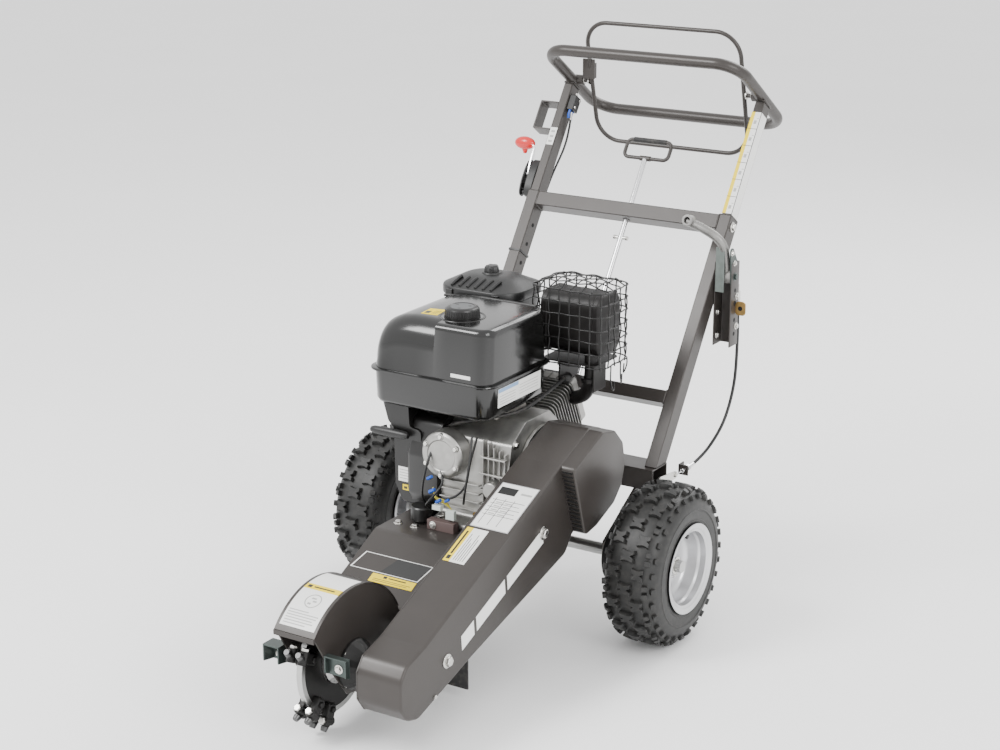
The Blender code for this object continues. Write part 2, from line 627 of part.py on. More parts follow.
# ---------------------------------------------------------------- cutter and belt drive
def make_cutter():
    """Make the cutter wheel with its teeth, its shaft, hub and two bearings."""
    centre = (CUTTER_Y, CUTTER_Z)
    hub_face = 0.0063
    shaft_profile = [
        (-0.0240, 0), (-0.0240, AXLE_RADIUS), (hub_face, AXLE_RADIUS), (hub_face, 0.0450), (0.0140, 0.0450),
        (0.0360, 0.0220), (0.0410, 0.0220), (0.0410, AXLE_RADIUS), (0.1750, AXLE_RADIUS), (0.1750, 0),
    ]
    shaft = turned("cutter_shaft", shaft_profile, centre, "X", "bare_steel")
    disc_profile = [(-0.0060, BORE_RADIUS), (-0.0060, DISC_RADIUS), (0.0060, DISC_RADIUS), (0.0060, BORE_RADIUS)]
    wheel = turned("cutter_wheel", disc_profile, centre, "X", "cast_steel", 40)
    blocks = []
    for k in range(TOOTH_COUNT):
        half = TOOTH_SPREAD if k % 2 else -TOOTH_SPREAD
        angle = math.radians(TOOTH_TURN + 360 / (TOOTH_COUNT // 2) * (k // 2) + half)
        outward = Vector((math.cos(angle), math.sin(angle)))
        around = Vector((-outward.y, outward.x))
        middle = Vector(centre)
        reach = math.sqrt(TOOTH_RADIUS ** 2 - 0.0140 ** 2)
        corners = [middle + outward * r + around * t for r, t in (
            (0.0780, -0.0140), (0.0780, 0.0140), (reach, 0.0140), (reach - 0.0100, -0.0140))]
        blocks.append(prism("block", [tuple(c) for c in corners], "X", -0.0220, 0.0220, None))
    combine(wheel, blocks, "UNION")
    for piece in (shaft, wheel):
        set_origin(piece, (0, *centre))
    for word, low, high, radius in (("inner", HOOD_X[1] + GAP, 0.0800, 0.0480), ("outer", 0.0860, 0.1038, 0.0480)):
        profile = [(low, BORE_RADIUS), (low, radius), (low + 0.006, radius), (high - 0.004, 0.0320),
                   (high, 0.0300), (high, BORE_RADIUS)]
        turned("bearing_" + word, profile, centre, "X", "cast_steel")


def pulley_profile(floor, low, high):
    """Return a one-groove pulley's profile between two planes."""
    rim = floor + BELT_THICK + BELT_CLEARANCE
    return [(low, BORE_RADIUS), (low, rim), (BELT_X[0] - GAP, rim), (BELT_X[0] - GAP, floor),
            (BELT_X[1] + GAP, floor), (BELT_X[1] + GAP, rim), (high, rim), (high, BORE_RADIUS)]


def make_drive():
    """Make the pulleys, clutch, belt, crankshaft and the guard around them."""
    cutter = (CUTTER_Y, CUTTER_Z)
    crank = (CRANK_Y, CRANK_Z)
    driven = turned("cutter_pulley", pulley_profile(CUTTER_PULLEY, 0.1210, 0.1590), cutter, "X", "cast_steel")
    set_origin(driven, (0, *cutter))
    drum_end = 0.2120
    profile = pulley_profile(CRANK_PULLEY, 0.1210, 0.1590)[:-2]
    profile += [(0.1600, CRANK_PULLEY), (0.1640, 0.0620), (drum_end, 0.0620), (drum_end, 0.0580),
                (0.1740, 0.0580), (0.1740, 0.0240), (drum_end, 0.0240), (drum_end, BORE_RADIUS)]
    clutch = turned("clutch_pulley", profile, crank, "X", "cast_steel")
    shaft = turned("crankshaft", [(PTO_FACE + GAP, 0), (PTO_FACE + GAP, AXLE_RADIUS), (0.2060, AXLE_RADIUS),
                                  (0.2060, 0)], crank, "X", "bare_steel")
    for piece in (clutch, shaft):
        set_origin(piece, (0, *crank))

    distance = math.dist(cutter, crank)
    heading = math.degrees(math.atan2(crank[1] - cutter[1], crank[0] - cutter[0]))
    loops = []
    for extra in (BELT_THICK, BELT_CLEARANCE):
        small = CRANK_PULLEY + extra
        large = CUTTER_PULLEY + extra
        spread = math.degrees(math.acos((large - small) / distance))
        loops.append(arc(crank, small, heading - spread, heading + spread, 12)
                     + arc(cutter, large, heading + spread, heading + 360 - spread, 12))
    belt = prism("drive_belt", loops[0], "X", BELT_X[0], BELT_X[1], "rubber")
    combine(belt, [prism("hole", loops[1], "X", 0.0, 0.3, None)], "DIFFERENCE")

    guard = prism("belt_guard", GUARD_OUTLINE, "X", GUARD_X[0], GUARD_X[1], "frame_paint")
    bulge = prism("bulge", BULGE_OUTLINE, "X", GUARD_X[1] - 0.010, BULGE_X, None)
    combine(guard, [bulge], "UNION")
    room = prism("room", inset(GUARD_OUTLINE, SHEET), "X", 0.0, GUARD_X[1] - SHEET, None)
    bulge_room = prism("room", inset(BULGE_OUTLINE, SHEET * 1.3), "X", 0.05, BULGE_X - SHEET, None)
    combine(guard, [room, bulge_room], "DIFFERENCE")

    back = prism("guard_back_plate", GUARD_OUTLINE, "X", DECK_X[1] + GAP, GUARD_X[0] - GAP, "frame_paint")
    holes = [turned("hole", [(0.0, 0), (0.0, r), (0.2, r), (0.2, 0)], centre, "X", None)
             for centre, r in ((cutter, 0.0200), (crank, 0.0300))]
    combine(back, holes, "DIFFERENCE")


# ---------------------------------------------------------------- engine
def cylinder_point(along, across):
    """Place a point on the inclined cylinder by its distance from the crank."""
    y = CRANK_Y + along * math.cos(CYLINDER_TILT) - across * math.sin(CYLINDER_TILT)
    z = CRANK_Z + along * math.sin(CYLINDER_TILT) + across * math.cos(CYLINDER_TILT)
    return (y, z)


def make_engine_block():
    """Make the crankcase, its side cover, the finned cylinder and the valve cover."""
    base = ENGINE_BASE
    outline = [
        (-0.235, base), (0.028, base), (0.028, 0.254), (0.012, 0.262), (0.022, 0.330), (0.000, 0.420),
        (-0.040, 0.455), (-0.130, 0.455), (-0.185, 0.420), (-0.200, 0.340), (-0.200, 0.262), (-0.235, 0.254),
    ]
    case = prism("crankcase", outline, "X", -0.0720, PTO_FACE, "cast_aluminium")
    boss = turned("boss", [(-0.2300, 0), (-0.2300, 0.0380), (-0.2240, 0.0480), (-0.1800, 0.0480), (-0.1800, 0)],
                  (-0.0180, 0.3650), "Y", None, 24)
    combine(case, [boss], "UNION")
    hollow = [prism("room", inset(outline, 0.0080), "X", -0.0660, PTO_FACE - 0.006, None),
              turned("hole", [(0.0, 0), (0.0, 0.0150), (0.2, 0.0150), (0.2, 0)], (CRANK_Y, CRANK_Z), "X", None)]
    combine(case, hollow, "DIFFERENCE")
    profile = [(PTO_FACE + GAP, BORE_RADIUS), (PTO_FACE + GAP, 0.0900), (0.0920, 0.0900), (0.1000, 0.0600),
               (0.1037, 0.0500), (0.1037, BORE_RADIUS)]
    turned("crankcase_side_cover", profile, (CRANK_Y, CRANK_Z), "X", "cast_aluminium")
    start = 0.1010
    fins = 7
    pitch = 0.0125
    lower = []
    upper = []
    for k in range(fins):
        low = start + k * pitch
        for along, reach in ((low, 0.062), (low + 0.0045, 0.062), (low + 0.0045, 0.050), (low + pitch, 0.050)):
            lower.append(cylinder_point(along, -reach))
            upper.append(cylinder_point(along, reach))
    end = start + fins * pitch
    head = [(end, 0.062), (end + 0.026, 0.062)]
    lower += [cylinder_point(a, -r) for a, r in head]
    upper += [cylinder_point(a, r) for a, r in head]
    prism("cylinder", lower + upper[::-1], "X", -0.0600, 0.0700, "cast_aluminium")
    first = end + 0.026 + GAP
    corners = [(first, -0.045), (first + 0.022, -0.045), (first + 0.028, -0.036), (first + 0.028, 0.036),
               (first + 0.022, 0.045), (first, 0.045)]
    prism("valve_cover", [cylinder_point(a, r) for a, r in corners], "X", -0.0480, 0.0580, "black_paint")
    sections = [(-0.1200, rounded((0.100, 0.450), (0.155, 0.512), 0.010)),
                (-0.0603, rounded((0.104, 0.455), (0.150, 0.500), 0.010))]
    loft("carburettor", sections, "X", "cast_aluminium")


def make_recoil():
    """Make the blower housing, the recoil starter's cover and its pull grip."""
    outline = [
        (-0.190, 0.2430), (0.030, 0.2430), (0.070, 0.300), (0.075, 0.380), (0.040, 0.450),
        (-0.030, 0.468), (-0.120, 0.468), (-0.190, 0.440), (-0.212, 0.370), (-0.212, 0.290),
    ]
    inner = inset(outline, 0.012)
    housing = loft("blower_housing", [(-0.1500, inner), (-0.1380, outline), (-0.0723, outline)], "X",
                   "black_paint")
    room = loft("room", [(-0.1480, inset(outline, 0.0145)), (-0.1370, inset(outline, 0.0025)),
                         (-0.0600, inset(outline, 0.0025))], "X", None)
    combine(housing, [room], "DIFFERENCE")
    profile = [(-0.2120, 0), (-0.2120, 0.0700), (-0.2020, 0.0900), (-0.1503, 0.0960), (-0.1503, 0.0930),
               (-0.2000, 0.0875), (-0.2095, 0.0680), (-0.2095, 0)]
    turned("recoil_cover", profile, (CRANK_Y, CRANK_Z), "X", "black_paint")
    start = (-0.1850, -0.1575, 0.3898)
    neck = rod("recoil_grip", [start, (-0.1850, -0.2060, 0.4060)], 0.0030, "black_plastic")
    bar = rod("bar", [(-0.2300, -0.2140, 0.4087), (-0.1400, -0.2140, 0.4087)], 0.0095, None)
    combine(neck, [bar], "UNION")
    set_origin(neck, start)


STEP_X = -0.0640                # the tank's stepped corner lies left of this


def make_tank():
    """Make the fuel tank with its seam flange, and its cap."""
    low = (-0.2180, -0.2340)
    high = (0.0600, 0.0030)

    def section(z, grow, corner):
        return (z, rounded((low[0] - grow, low[1] - grow), (high[0] + grow, high[1] + grow), corner, 4))

    sections = [
        section(0.4720, -0.0160, 0.022), section(0.4780, -0.0060, 0.028), section(0.5420, 0.0000, 0.032),
        section(0.5421, 0.0080, 0.036), section(0.5479, 0.0080, 0.036), section(0.5480, 0.0000, 0.032),
        section(0.6350, -0.0060, 0.032), section(0.6500, -0.0120, 0.028), section(0.6570, -0.0220, 0.020),
    ]
    tank = loft("fuel_tank", sections, "Z", "black_paint")
    step = [(-0.2500, 0.6000), (-0.2340, 0.6000), (-0.2050, 0.6300), (-0.1700, 0.6480), (-0.1350, 0.6600),
            (-0.1350, 0.6700), (-0.2500, 0.6700)]
    combine(tank, [prism("step", step, "X", -0.2400, STEP_X, None)], "DIFFERENCE")
    centre = (-0.0470, -0.1560)
    room = loft("room", [section(0.4745, -0.0190, 0.020), section(0.4800, -0.0085, 0.026),
                         section(0.5950, -0.0085, 0.028), section(0.6280, -0.0450, 0.018),
                         section(0.6530, -0.0800, 0.010)], "Z", None)
    neck = turned("neck", [(0.6300, 0), (0.6300, 0.0250), (0.7000, 0.0250), (0.7000, 0)], centre, "Z", None)
    combine(tank, [room, neck], "DIFFERENCE")
    profile = [(0.6573, 0), (0.6573, 0.0360), (0.6740, 0.0360), (0.6790, 0.0320), (0.6790, 0)]
    cap = turned("fuel_cap", profile, centre, "Z", "black_plastic", 24)
    set_origin(cap, (*centre, 0.6573))


def make_breathing():
    """Make the air cleaner, its lid, the muffler and the wire cage round it."""
    low = (-0.2320, 0.0140)
    high = (-0.0410, 0.1740)

    def section(z, grow, corner):
        return (z, rounded((low[0] - grow, low[1] - grow), (high[0] + grow, high[1] + grow), corner, 5))

    base = loft("air_cleaner_base", [section(0.5150, -0.0250, 0.030), section(0.5400, -0.0060, 0.050),
                                     section(0.6400, -0.0040, 0.055)], "Z", "black_plastic")
    room = loft("room", [section(0.5175, -0.0280, 0.027), section(0.5410, -0.0090, 0.047),
                         section(0.6600, -0.0070, 0.052)], "Z", None)
    combine(base, [room], "DIFFERENCE")
    lid = loft("air_cleaner_lid", [section(0.6403, 0.0, 0.055), section(0.6590, 0.0, 0.055),
                                   section(0.6740, -0.0300, 0.045), section(0.6820, -0.0500, 0.028)],
               "Z", "black_plastic")
    middle = ((low[0] + high[0]) / 2, (low[1] + high[1]) / 2)
    knob = turned("knob", [(0.6750, 0), (0.6750, 0.0160), (0.6950, 0.0130), (0.6970, 0)], middle, "Z", None, 16)
    combine(lid, [knob], "UNION")
    room = loft("room", [section(0.6000, -0.0030, 0.052), section(0.6580, -0.0030, 0.052),
                         section(0.6720, -0.0330, 0.042)], "Z", None)
    combine(lid, [room], "DIFFERENCE")
    body = rounded((0.034, 0.550), (0.126, 0.678), 0.026)
    muffler = prism("muffler", body, "X", 0.0140, 0.1540, "black_paint")
    room = prism("room", inset(body, 0.0020), "X", 0.0160, 0.1520, None)
    inlet = turned("inlet", [(0.5000, 0), (0.5000, 0.0140), (0.6000, 0.0140), (0.6000, 0)], (0.0600, 0.0800),
                   "Z", None)
    combine(muffler, [room, inlet], "DIFFERENCE")
    outer = rounded((-0.0020, 0.0180), (0.1700, 0.1420), 0.026)
    cage = loft("muffler_cage", [(0.5350, outer), (0.6850, outer),
                                 (0.7020, rounded((0.0140, 0.0340), (0.1540, 0.1260), 0.018))], "Z", "black_paint")
    room = loft("room", [(0.5000, inset(outer, SHEET)), (0.6840, inset(outer, SHEET)),
                         (0.7000, rounded((0.0160, 0.0360), (0.1520, 0.1240), 0.016))], "Z", None)
    combine(cage, [room], "DIFFERENCE")


def place_on_origin():
    """Shift every piece so that the origin lies under the middle of the machine."""
    for found in bpy.context.scene.objects:
        found.location.y += AXLE_Y


def main():
    """Build the whole machine."""
    clear_scene()
    for side, word in ((-1, "left"), (1, "right")):
        make_wheel(side, word)
    make_axle()
    make_brake()
    make_handle_frame()
    make_bail()
    make_controls()
    make_chassis()
    make_cutter()
    make_drive()
    make_engine_block()
    make_recoil()
    make_tank()
    make_breathing()
    place_on_origin()


main()
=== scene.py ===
"""Looks of a walk-behind stump grinder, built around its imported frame.

+X is the belt side, -Y the cutter end, +Y the operator's end and +Z up, in metres. Places
along Y are given from the wheel axle, and each piece is shifted to the frame as it is made.
"""
import json
import logging
import math
from dataclasses import dataclass, field
from enum import Enum
from typing import Callable, Iterable, Optional, Sequence

import bmesh
import bpy
from mathutils import Matrix, Vector


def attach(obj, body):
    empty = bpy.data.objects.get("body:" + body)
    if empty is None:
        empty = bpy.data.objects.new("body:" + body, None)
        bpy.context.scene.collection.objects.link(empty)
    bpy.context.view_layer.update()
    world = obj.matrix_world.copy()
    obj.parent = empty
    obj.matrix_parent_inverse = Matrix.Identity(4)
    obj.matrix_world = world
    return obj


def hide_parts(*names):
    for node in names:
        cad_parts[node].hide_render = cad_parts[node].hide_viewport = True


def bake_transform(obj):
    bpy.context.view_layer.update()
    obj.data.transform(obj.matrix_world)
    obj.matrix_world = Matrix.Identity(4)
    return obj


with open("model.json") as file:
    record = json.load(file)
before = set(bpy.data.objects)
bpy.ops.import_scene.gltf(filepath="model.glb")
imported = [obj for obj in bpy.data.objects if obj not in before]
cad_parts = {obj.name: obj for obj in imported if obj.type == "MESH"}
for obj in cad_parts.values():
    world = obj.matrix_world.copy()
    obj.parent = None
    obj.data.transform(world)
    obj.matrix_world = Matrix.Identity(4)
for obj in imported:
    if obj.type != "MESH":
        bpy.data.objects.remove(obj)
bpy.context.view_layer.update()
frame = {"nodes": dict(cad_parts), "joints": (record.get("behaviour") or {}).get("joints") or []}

LOG = logging.getLogger("stump_grinder")
JOINTS = {joint["name"]: joint for joint in frame["joints"]}
AXLE_Y = JOINTS["wheel_left_spin"]["pos_m"][1]
AXLE_Z = JOINTS["wheel_left_spin"]["pos_m"][2]
Pair = tuple[float, float]
Point = Sequence[float]
Outline = list[Pair]
Place = Callable[[float, float, float], Point]


# ------------------------------------------------------------------ finishes
class Surface(Enum):
    """The ways in which a finish's fine relief runs."""

    GRAIN = "grain"
    TURNED = "turned"
    CAST = "cast"


@dataclass(frozen=True)
class Finish:
    """One finish of the machine, drawn wholly by shader nodes."""

    name: str
    colour: tuple[float, float, float]  # base colour in linear light
    roughness: float  # middle of the roughness, which drifts by spread
    metallic: float = 0.0
    drift: float = 0.12  # share by which the colour drifts over patches
    patch: float = 0.06  # size of those patches in metres
    grain: float = 0.0012  # size of the fine relief in metres
    relief: float = 0.00006  # height of the fine relief in metres
    spread: float = 0.07  # how far the roughness drifts
    coat: float = 0.0  # weight of a clear top coat
    dust: float = 0.0  # share of pale dust that lies in patches
    surface: Surface = Surface.GRAIN  # how the relief runs

    def material(self) -> bpy.types.Material:
        """Return the finish's material, made on first use."""
        found = bpy.data.materials.get("finish_" + self.name)
        return found or self._build()

    def _build(self) -> bpy.types.Material:
        """Draw the finish with noise for colour, roughness and relief.

        Returns:
            The new material.
        """
        made = bpy.data.materials.new("finish_" + self.name)
        made.use_nodes = True
        tree = made.node_tree
        shader = tree.nodes["Principled BSDF"]
        shader.inputs["Metallic"].default_value = self.metallic
        shader.inputs["Coat Weight"].default_value = self.coat
        shader.inputs["Coat Roughness"].default_value = 0.12
        place = tree.nodes.new("ShaderNodeTexCoord").outputs["Object"]
        if self.surface is Surface.TURNED:
            stretch = tree.nodes.new("ShaderNodeMapping")
            stretch.inputs["Scale"].default_value = (6.0, 1.0, 1.0)
            tree.links.new(place, stretch.inputs["Vector"])
            fine_place = stretch.outputs["Vector"]
        else:
            fine_place = place
        patches = self._noise(tree, place, 1.0 / self.patch, 5.0)
        fine = self._noise(tree, fine_place, 1.0 / self.grain, 2.0)
        tint = self._ramp(tree, patches, self._shade(1.0 - self.drift), self._shade(1.0 + self.drift))
        if self.dust > 0.0:
            tint = self._dusted(tree, place, tint)
        tree.links.new(tint, shader.inputs["Base Color"])
        dull = tree.nodes.new("ShaderNodeMapRange")
        dull.inputs["To Min"].default_value = max(0.02, self.roughness - self.spread)
        dull.inputs["To Max"].default_value = min(1.0, self.roughness + self.spread)
        tree.links.new(patches, dull.inputs["Value"])
        tree.links.new(dull.outputs["Result"], shader.inputs["Roughness"])
        relief = tree.nodes.new("ShaderNodeBump")
        relief.inputs["Distance"].default_value = self.relief
        relief.inputs["Strength"].default_value = 0.9
        tree.links.new(fine, relief.inputs["Height"])
        tree.links.new(relief.outputs["Normal"], shader.inputs["Normal"])
        return made

    def _shade(self, share: float) -> tuple[float, float, float, float]:
        """Return the base colour, lighter or darker by a share."""
        return (*(min(1.0, part * share) for part in self.colour), 1.0)

    @staticmethod
    def _noise(tree: bpy.types.NodeTree, place: bpy.types.NodeSocket, scale: float,
            detail: float) -> bpy.types.NodeSocket:
        """Add a noise texture.

        Args:
            tree: node tree to add to.
            place: coordinates to read.
            scale: lumps per metre.
            detail: octaves.

        Returns:
            The noise's height socket.
        """
        noise = tree.nodes.new("ShaderNodeTexNoise")
        noise.inputs["Scale"].default_value = scale
        noise.inputs["Detail"].default_value = detail
        tree.links.new(place, noise.inputs["Vector"])
        return noise.outputs["Fac"]

    @staticmethod
    def _ramp(tree: bpy.types.NodeTree, value: bpy.types.NodeSocket, low: tuple, high: tuple,
            ends: Pair = (0.3, 0.7)) -> bpy.types.NodeSocket:
        """Turn a value into a colour between two colours.

        Args:
            tree: node tree to add to.
            value: socket to read.
            low: colour at the first end.
            high: colour at the second end.
            ends: values of the two ends.

        Returns:
            The colour socket.
        """
        ramp = tree.nodes.new("ShaderNodeValToRGB")
        first, second = ramp.color_ramp.elements
        first.position, second.position = ends
        first.color = low
        second.color = high
        tree.links.new(value, ramp.inputs["Fac"])
        return ramp.outputs["Color"]

    def _dusted(self, tree: bpy.types.NodeTree, place: bpy.types.NodeSocket,
            tint: bpy.types.NodeSocket) -> bpy.types.NodeSocket:
        """Lay a thin pale dust over the colour, in blotches.

        Args:
            tree: node tree to add to.
            place: coordinates to read.
            tint: colour under the dust.

        Returns:
            The dusted colour's socket.
        """
        blotches = self._noise(tree, place, 90.0, 6.0)
        amount = self._ramp(tree, blotches, (0, 0, 0, 1), (self.dust,) * 3 + (1,), (0.45, 0.75))
        mix = tree.nodes.new("ShaderNodeMix")
        mix.data_type = "RGBA"
        mix.inputs["B"].default_value = (0.2, 0.18, 0.16, 1.0)
        tree.links.new(amount, mix.inputs["Factor"])
        tree.links.new(tint, mix.inputs["A"])
        return mix.outputs["Result"]


PAINT = Finish("powder_coat", (0.037, 0.032, 0.029), 0.36, 0.2, drift=0.06, grain=0.0016, relief=0.00006)
RUBBER = Finish("tyre_rubber", (0.0075, 0.0075, 0.007), 0.5, grain=0.0022, relief=0.0001, dust=0.07)
SHEET_RUBBER = Finish("sheet_rubber", (0.009, 0.009, 0.009), 0.62, grain=0.002, relief=0.0001, dust=0.2)
SILVER = Finish("rim_silver", (0.6, 0.6, 0.61), 0.3, 0.85, drift=0.05, relief=0.00003)
STEEL = Finish("turned_steel", (0.5, 0.5, 0.49), 0.3, 1.0, grain=0.0009, surface=Surface.TURNED)
ZINC = Finish("zinc_plate", (0.62, 0.61, 0.58), 0.27, 1.0, drift=0.1, patch=0.01, relief=0.00003)
CHROME = Finish("bright_chrome", (0.8, 0.8, 0.81), 0.1, 1.0, drift=0.03, relief=0.00001, spread=0.03)
GLOSS_BLACK = Finish("gloss_enamel", (0.003, 0.003, 0.0028), 0.16, coat=0.25, relief=0.00002, spread=0.03)
SATIN_BLACK = Finish("satin_enamel", (0.0055, 0.0052, 0.005), 0.33, grain=0.0014, relief=0.00005)
HEAT_BLACK = Finish("heat_paint", (0.006, 0.005, 0.0046), 0.45, 0.2, drift=0.3, patch=0.03, relief=0.00008)
PLASTIC = Finish("moulded_plastic", (0.0085, 0.0085, 0.0085), 0.4, grain=0.0009, relief=0.00005)
GREY_PLASTIC = Finish("grey_plastic", (0.075, 0.078, 0.08), 0.5, relief=0.00005)
RED_PLASTIC = Finish("red_plastic", (0.62, 0.012, 0.01), 0.28, drift=0.05, relief=0.00002, coat=0.3)
BLUE_PLASTIC = Finish("blue_plastic", (0.01, 0.07, 0.38), 0.35, drift=0.08, relief=0.00002)
WHITE_PLASTIC = Finish("white_plastic", (0.55, 0.6, 0.56), 0.45, drift=0.08, relief=0.00002)
YELLOW_WIRE = Finish("yellow_wire", (0.42, 0.36, 0.03), 0.45, drift=0.15, patch=0.004, relief=0.00001)
CABLE = Finish("cable_sheath", (0.006, 0.006, 0.006), 0.38, grain=0.002, relief=0.00004)
ALLOY = Finish("die_casting", (0.36, 0.355, 0.34), 0.38, 0.9, drift=0.14, patch=0.02, grain=0.0018,
    relief=0.00022, spread=0.1, surface=Surface.CAST)
DARK_ALLOY = Finish("shaded_casting", (0.3, 0.29, 0.27), 0.52, 0.85, drift=0.25, patch=0.015, grain=0.0018,
    relief=0.00025, spread=0.1, surface=Surface.CAST)
PLATED = Finish("green_passivate", (0.06, 0.075, 0.07), 0.36, 0.7, drift=0.12, patch=0.012)
LEVER_PLATED = Finish("lever_passivate", (0.19, 0.22, 0.205), 0.38, 0.6, drift=0.12, patch=0.012)
LEVER_GREY = Finish("lever_casting", (0.24, 0.235, 0.225), 0.42, 0.7, drift=0.15, patch=0.015, grain=0.0016,
    relief=0.00015, surface=Surface.CAST)
BRASS = Finish("bronze_tab", (0.42, 0.27, 0.1), 0.38, 1.0, drift=0.15, patch=0.006)
IRON = Finish("dark_casting", (0.012, 0.0115, 0.011), 0.42, 0.5, grain=0.0017, relief=0.00018)
CARBIDE = Finish("carbide_tip", (0.1, 0.1, 0.1), 0.34, 1.0, drift=0.08, patch=0.004)
MOUNT_RED = Finish("primer_block", (0.115, 0.08, 0.075), 0.5, 0.2)
WHITE_PRINT = Finish("white_film", (0.78, 0.78, 0.76), 0.42, drift=0.02, relief=0.00001)
GREY_PRINT = Finish("grey_print", (0.34, 0.34, 0.33), 0.45, drift=0.05, relief=0.00001)
YELLOW_PRINT = Finish("yellow_film", (0.8, 0.6, 0.0), 0.62, drift=0.04, relief=0.00001)
BLACK_PRINT = Finish("black_film", (0.012, 0.012, 0.012), 0.42, drift=0.05, relief=0.00001)
BLUE_PRINT = Finish("pale_blue_film", (0.22, 0.36, 0.58), 0.42, drift=0.04, relief=0.00001)
# Near-black for the insides of holes, slots, vents and a socket: painted shade where these openings are
# dark.
PAINTED_HOLE_SHADE = Finish("hole_shadow", (0.002, 0.002, 0.002), 0.9, drift=0.1, relief=0.00001)


# ------------------------------------------------------------------ outlines
def arc(centre: Pair, radius: float, start: float, end: float, steps: int) -> Outline:
    """Return points along an arc.

    Args:
        centre: centre of the arc.
        radius: its radius.
        start: first angle in degrees.
        end: last angle in degrees.
        steps: number of segments.

    Returns:
        The points, both ends included.
    """
    angles = [math.radians(start + (end - start) * k / steps) for k in range(steps + 1)]
    return [(centre[0] + radius * math.cos(a), centre[1] + radius * math.sin(a)) for a in angles]


def pairs(*values: float) -> Outline:
    """Return an outline from its coordinates in millimetres, two by two."""
    return [(a / 1000, b / 1000) for a, b in zip(values[::2], values[1::2])]


def points(*values: float) -> list[tuple[float, float, float]]:
    """Return a route from its coordinates in millimetres, three by three."""
    return [(a / 1000, b / 1000, c / 1000) for a, b, c in zip(values[::3], values[1::3], values[2::3])]


def turned(centre: Pair, radius: float, degrees: float) -> Pair:
    """Return the point at a radius and an angle from a centre."""
    return arc(centre, radius, degrees, degrees, 1)[0]


def rounded(low: Pair, high: Pair, corner: float, steps: int = 8) -> Outline:
    """Return a rectangle with round corners.

    Args:
        low: lowest corner.
        high: highest corner.
        corner: corner radius.
        steps: segments in each corner.

    Returns:
        The closed outline.
    """
    outline: Outline = []
    for x, y, start in ((high[0] - corner, high[1] - corner, 0), (low[0] + corner, high[1] - corner, 90),
            (low[0] + corner, low[1] + corner, 180), (high[0] - corner, low[1] + corner, 270)):
        outline += arc((x, y), corner, start, start + 90, steps)
    return outline


def filleted(outline: Sequence[Pair], radius: float, steps: int = 5) -> Outline:
    """Round every corner of a closed outline.

    Args:
        outline: corner points.
        radius: largest corner radius.
        steps: segments in each corner.

    Returns:
        The rounded outline.
    """
    made: Outline = []
    count = len(outline)
    for i in range(count):
        before, here, after = (Vector(outline[j % count]) for j in (i - 1, i, i + 1))
        back, ahead = before - here, after - here
        turn = math.pi - back.angle(ahead)
        cut = min(radius * math.tan(turn / 2), 0.45 * back.length, 0.45 * ahead.length)
        start, end = here + back.normalized() * cut, here + ahead.normalized() * cut
        for k in range(steps + 1):
            t = k / steps
            made.append(tuple(start * (1 - t) ** 2 + here * 2 * t * (1 - t) + end * t ** 2))
    return made


def smooth_route(points: Sequence[Point], spacing: float = 0.006) -> list[Vector]:
    """Read evenly spaced points from a smooth curve through a route's own points.

    Args:
        points: the route.
        spacing: wanted distance between points.

    Returns:
        The points of the smooth route.
    """
    route = [Vector(p) for p in points]
    ends = [2 * route[0] - route[1], *route, 2 * route[-1] - route[-2]]
    path: list[Vector] = []
    for i in range(1, len(ends) - 2):
        before, start, end, after = ends[i - 1:i + 3]
        count = max(2, round((end - start).length / spacing))
        for k in range(count):
            t = k / count
            path.append(0.5 * (2 * start + (end - before) * t + (2 * before - 5 * start + 4 * end
                - after) * t ** 2 + (3 * start - before - 3 * end + after) * t ** 3))
    path.append(route[-1])
    return path


def frame_at(point: Point, normal: Point, up: Point = (0, 0, 1)) -> Matrix:
    """Return a matrix whose Z runs along a normal and whose Y leans towards up.

    Args:
        point: origin of the frame.
        normal: direction of its Z.
        up: direction that its Y leans to.

    Returns:
        The 4 x 4 matrix.
    """
    z = Vector(normal).normalized()
    x = Vector(up).cross(z)
    x = x.normalized() if x.length > 1e-6 else z.orthogonal().normalized()
    y = z.cross(x)
    turned = Matrix((x, y, z)).transposed().to_4x4()
    return Matrix.Translation(Vector(point)) @ turned


